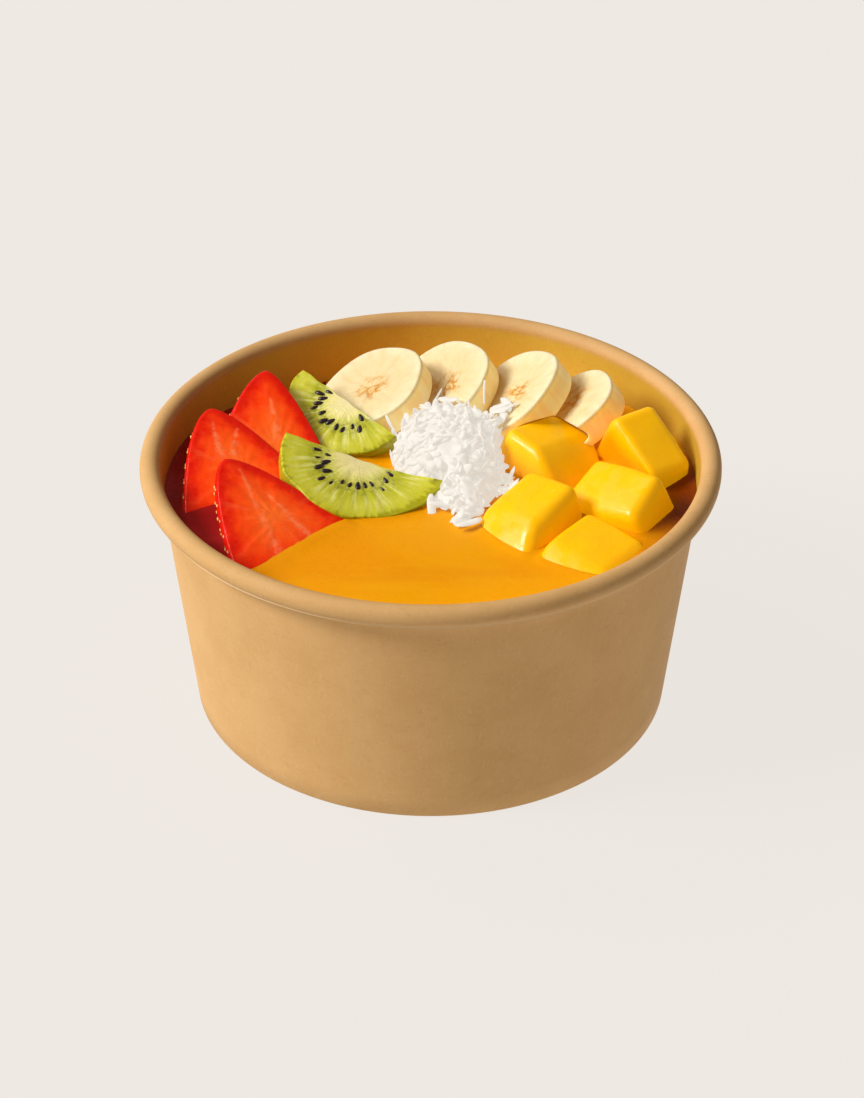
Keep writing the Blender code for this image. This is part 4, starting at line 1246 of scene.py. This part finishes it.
def flakeTree():
    tree, given, result = newGeometryTree("flakesOnHeap", [
        ("Count", "Float", 1000.0), ("Length Low", "Float", 0.003), ("Length High", "Float", 0.008),
        ("Width Low", "Float", 0.001), ("Width High", "Float", 0.002), ("Thickness", "Float", 0.0004),
        ("Curl", "Float", 0.2), ("Tilt", "Float", 0.5), ("Seed", "Int", 1), ("Look", "Material")])
    bar = addNode(tree, "GeometryNodeMeshCube", {
        "Size": (1.0, 1.0, 1.0), "Vertices X": 7, "Vertices Y": 4, "Vertices Z": 2}).outputs[0]
    x, y, z = split(pointPlace(tree))
    square = times(x, x)
    kinds = []
    for bendShare, taper, twist in coconut["kinds"]:
        # Rounded ends: the width follows the root of what is left of the square of the length
        wide = calc("SQRT", calc("MAXIMUM", 0.12, minus(1.0, times(square, square, 15.0))))
        wide = times(wide, plus(1.0, times(x, taper)))
        across = plus(times(y, wide), times(square, 0.5 * twist))
        bent = times(square, given["Curl"], 24.0 * bendShare)
        edges = minus(1.0, times(y, y, 3.2))
        height = plus(times(z, times(edges, wide)), plus(bent, times(x, y, twist * 1.2)))
        kind = setPlace(bar, joined(x, across, height))
        kinds.append(addNode(tree, "GeometryNodeGeometryToInstance", {0: kind}).outputs[0])
    together = addNode(tree, "GeometryNodeJoinGeometry")
    for kind in reversed(kinds):
        plug(kind, together.inputs[0])
    scattered = addNode(tree, "GeometryNodeDistributePointsOnFaces", {
        "Mesh": given["Geometry"], "Density": given["Count"], "Seed": given["Seed"]}).outputs

    def randomFrom(extra, low, high, kind="FLOAT"):
        return randomValue(kind, low, high, plus(given["Seed"], extra))

    # Most flakes lie nearly flat, and a few stand up
    tilts = []
    for extra in (2.0, 3.0):
        chance = randomFrom(extra, -1.0, 1.0)
        tilts.append(times(chance, times(chance, chance)))
    spin = joined(*(times(tilt, given["Tilt"]) for tilt in tilts), randomFrom(4.0, 0.0, math.tau))
    turned = addNode(
        tree, "FunctionNodeRotateRotation", {"Rotation": scattered["Rotation"], "Rotate By": spin},
        rotation_space="LOCAL")
    size = joined(
        randomFrom(5.0, given["Length Low"], given["Length High"]),
        randomFrom(6.0, given["Width Low"], given["Width High"]), given["Thickness"])
    placed = addNode(tree, "GeometryNodeInstanceOnPoints", {
        "Points": scattered["Points"], "Instance": together.outputs[0], "Pick Instance": True,
        "Instance Index": randomFrom(1.0, 0, len(kinds) - 1, "INT"),
        "Rotation": turned.outputs[0], "Scale": size})
    return finishTree(placed.outputs[0], given["Look"], result)


def addLoosePatches(mesh):
    # Small patches on the fruit and the puree round the heap, for loose flakes
    rng = random.Random(3)
    verts = [tuple(v.co) for v in mesh.vertices]
    faces = [tuple(face.vertices) for face in mesh.polygons]
    for x, y, reach, count in coconut["loose"]:
        for _ in range(count):
            angle, away = rng.uniform(0.0, math.tau), reach * math.sqrt(rng.random())
            spot = Vector((x + away * math.cos(angle), y + away * math.sin(angle), 0.0))
            spot.z = pureeHeight(spot.x, spot.y)
            up = upright
            hit = fruitTree.ray_cast(Vector((spot.x, spot.y, coconut["castFrom"])), -up)
            if hit[0] is not None and hit[0].z > spot.z:
                spot, up = hit[0], hit[1]
            side = up.orthogonal().normalized() * coconut["looseSize"] / 2
            other = up.cross(side)
            spot = spot + up * rng.uniform(*coconut["looseLift"])
            start = len(verts)
            verts += [tuple(spot + side), *(tuple(spot - side / 2 + other * part) for part in (0.87, -0.87))]
            faces.append((start, start + 1, start + 2))
    mesh.clear_geometry()
    mesh.from_pydata(verts, [], faces)


def cullFlakes(piece, kiwiTree):
    # Takes out each flake that would run into the fruit, lie on the kiwi or lie under the puree
    bm = bmesh.new()
    bm.from_mesh(piece.data)
    unseen = set(bm.verts)
    gone = []
    while unseen:
        flake = [unseen.pop()]
        for vert in flake:
            for edge in vert.link_edges:
                other = edge.other_vert(vert)
                if other in unseen:
                    unseen.remove(other)
                    flake.append(other)
        middle = sum((v.co for v in flake), Vector()) / len(flake)
        bad = middle.z < pureeHeight(middle.x, middle.y)
        bad = bad or kiwiTree.ray_cast(middle, -upright)[0] is not None
        for vert in flake:
            if bad:
                break
            near, normal, _, distance = fruitTree.find_nearest(vert.co)
            bad = distance < coconut["clearance"] or (vert.co - near).dot(normal) < 0
        if bad:
            gone += flake
    bmesh.ops.delete(bm, geom=gone, context="VERTS")
    bm.to_mesh(piece.data)
    bm.free()


coconutLook = coconutMaterial()
core = heapCore(coconutLook, treeOf(coconut["bareFruit"]))
area = sum(face.area for face in core.data.polygons)
flakes = addObject("coconutFlakes", core.data.copy())
addLoosePatches(flakes.data)
shortest, longest = coconut["length"]
narrowest, widest = coconut["width"]
runGeometryTree(flakes, flakeTree(), {
    "Count": coconut["flakes"] / area, "Length Low": shortest, "Length High": longest,
    "Width Low": narrowest, "Width High": widest, "Thickness": coconut["thickness"],
    "Curl": coconut["curl"], "Tilt": coconut["tilt"], "Seed": coconut["seed"], "Look": coconutLook})
cullFlakes(flakes, treeOf(kiwis["slices"]))
settle(core, "coconut", "coconut_heap")
settle(flakes, "coconut", "coconut_heap")
print("coconut made", len(flakes.data.polygons), "faces of flakes")


# Floor, light and camera

studio = {
    "floorSize": 6.0, "floorColour": rgb(56, 54, 52), "floorMottle": rgb(53, 51, 49),
    "floorGlow": rgb(233, 228, 222), "floorGlowStrength": 0.99,
    "worldColour": (1.0, 0.88, 0.72, 1.0), "worldStrength": 0.24,
    "sunFrom": (-1.0, -0.2, 0.84), "sunStrength": 3.35, "sunAngle": 22.0,
    "windowAt": (-0.9, 0.5, 1.3), "windowSize": 0.35, "windowPower": 6.0, "fruitAt": (0.0, 0.0, 0.06),
}
cameraSetup = {
    "place": (0.0, -0.65178, 0.46902), "pitch": 56.38, "lens": 97.01, "sensor": 36.0,
    "shift": (0.0012, 0.0124), "clip": (0.01, 20.0),
}


def makeFloor():
    half = studio["floorSize"] / 2
    material, tree, shader = newMaterial("paleFloor", {
        "Roughness": 0.9, "Specular IOR Level": 0.1,
        "Emission Color": studio["floorGlow"], "Emission Strength": studio["floorGlowStrength"]})
    tone = grainNoise(objectPlace(tree), 3.0)
    mottle = spread(tone, 0.3, 0.7, 0.0, 0.02)
    plug(mixColour(mottle, studio["floorColour"], studio["floorMottle"]), shader["Base Color"])
    corners = [(-half, -half, 0.0), (half, -half, 0.0), (half, half, 0.0), (-half, half, 0.0)]
    makePiece("studioFloor", corners, [(0, 1, 2, 3)], material)


def makeLights():
    world = bpy.data.worlds.new("studioWorld")
    world.use_nodes = True
    background = world.node_tree.nodes["Background"].inputs
    background["Color"].default_value = studio["worldColour"]
    background["Strength"].default_value = studio["worldStrength"]
    bpy.context.scene.world = world
    sun = bpy.data.lights.new("softKey", "SUN")
    sun.energy = studio["sunStrength"]
    sun.angle = math.radians(studio["sunAngle"])
    aim(addObject("softKey", sun), studio["sunFrom"])
    window = bpy.data.lights.new("windowGlint", "AREA")
    window.energy = studio["windowPower"]
    window.size = studio["windowSize"]
    windowObject = addObject("windowGlint", window)
    windowObject.location = studio["windowAt"]
    aim(windowObject, Vector(studio["windowAt"]) - Vector(studio["fruitAt"]))


def aim(light, direction):
    light.rotation_euler = Vector(direction).to_track_quat("Z", "Y").to_euler()


def makeCamera():
    data = bpy.data.cameras.new("photoCamera")
    data.lens = cameraSetup["lens"]
    data.sensor_width = cameraSetup["sensor"]
    data.shift_x, data.shift_y = cameraSetup["shift"]
    data.clip_start, data.clip_end = cameraSetup["clip"]
    camera = addObject("photoCamera", data)
    camera.location = cameraSetup["place"]
    camera.rotation_euler = (math.radians(cameraSetup["pitch"]), 0.0, 0.0)
    bpy.context.scene.camera = camera


makeFloor()
makeLights()
makeCamera()
bpy.context.scene.view_settings.view_transform = "Standard"
print("studio made")
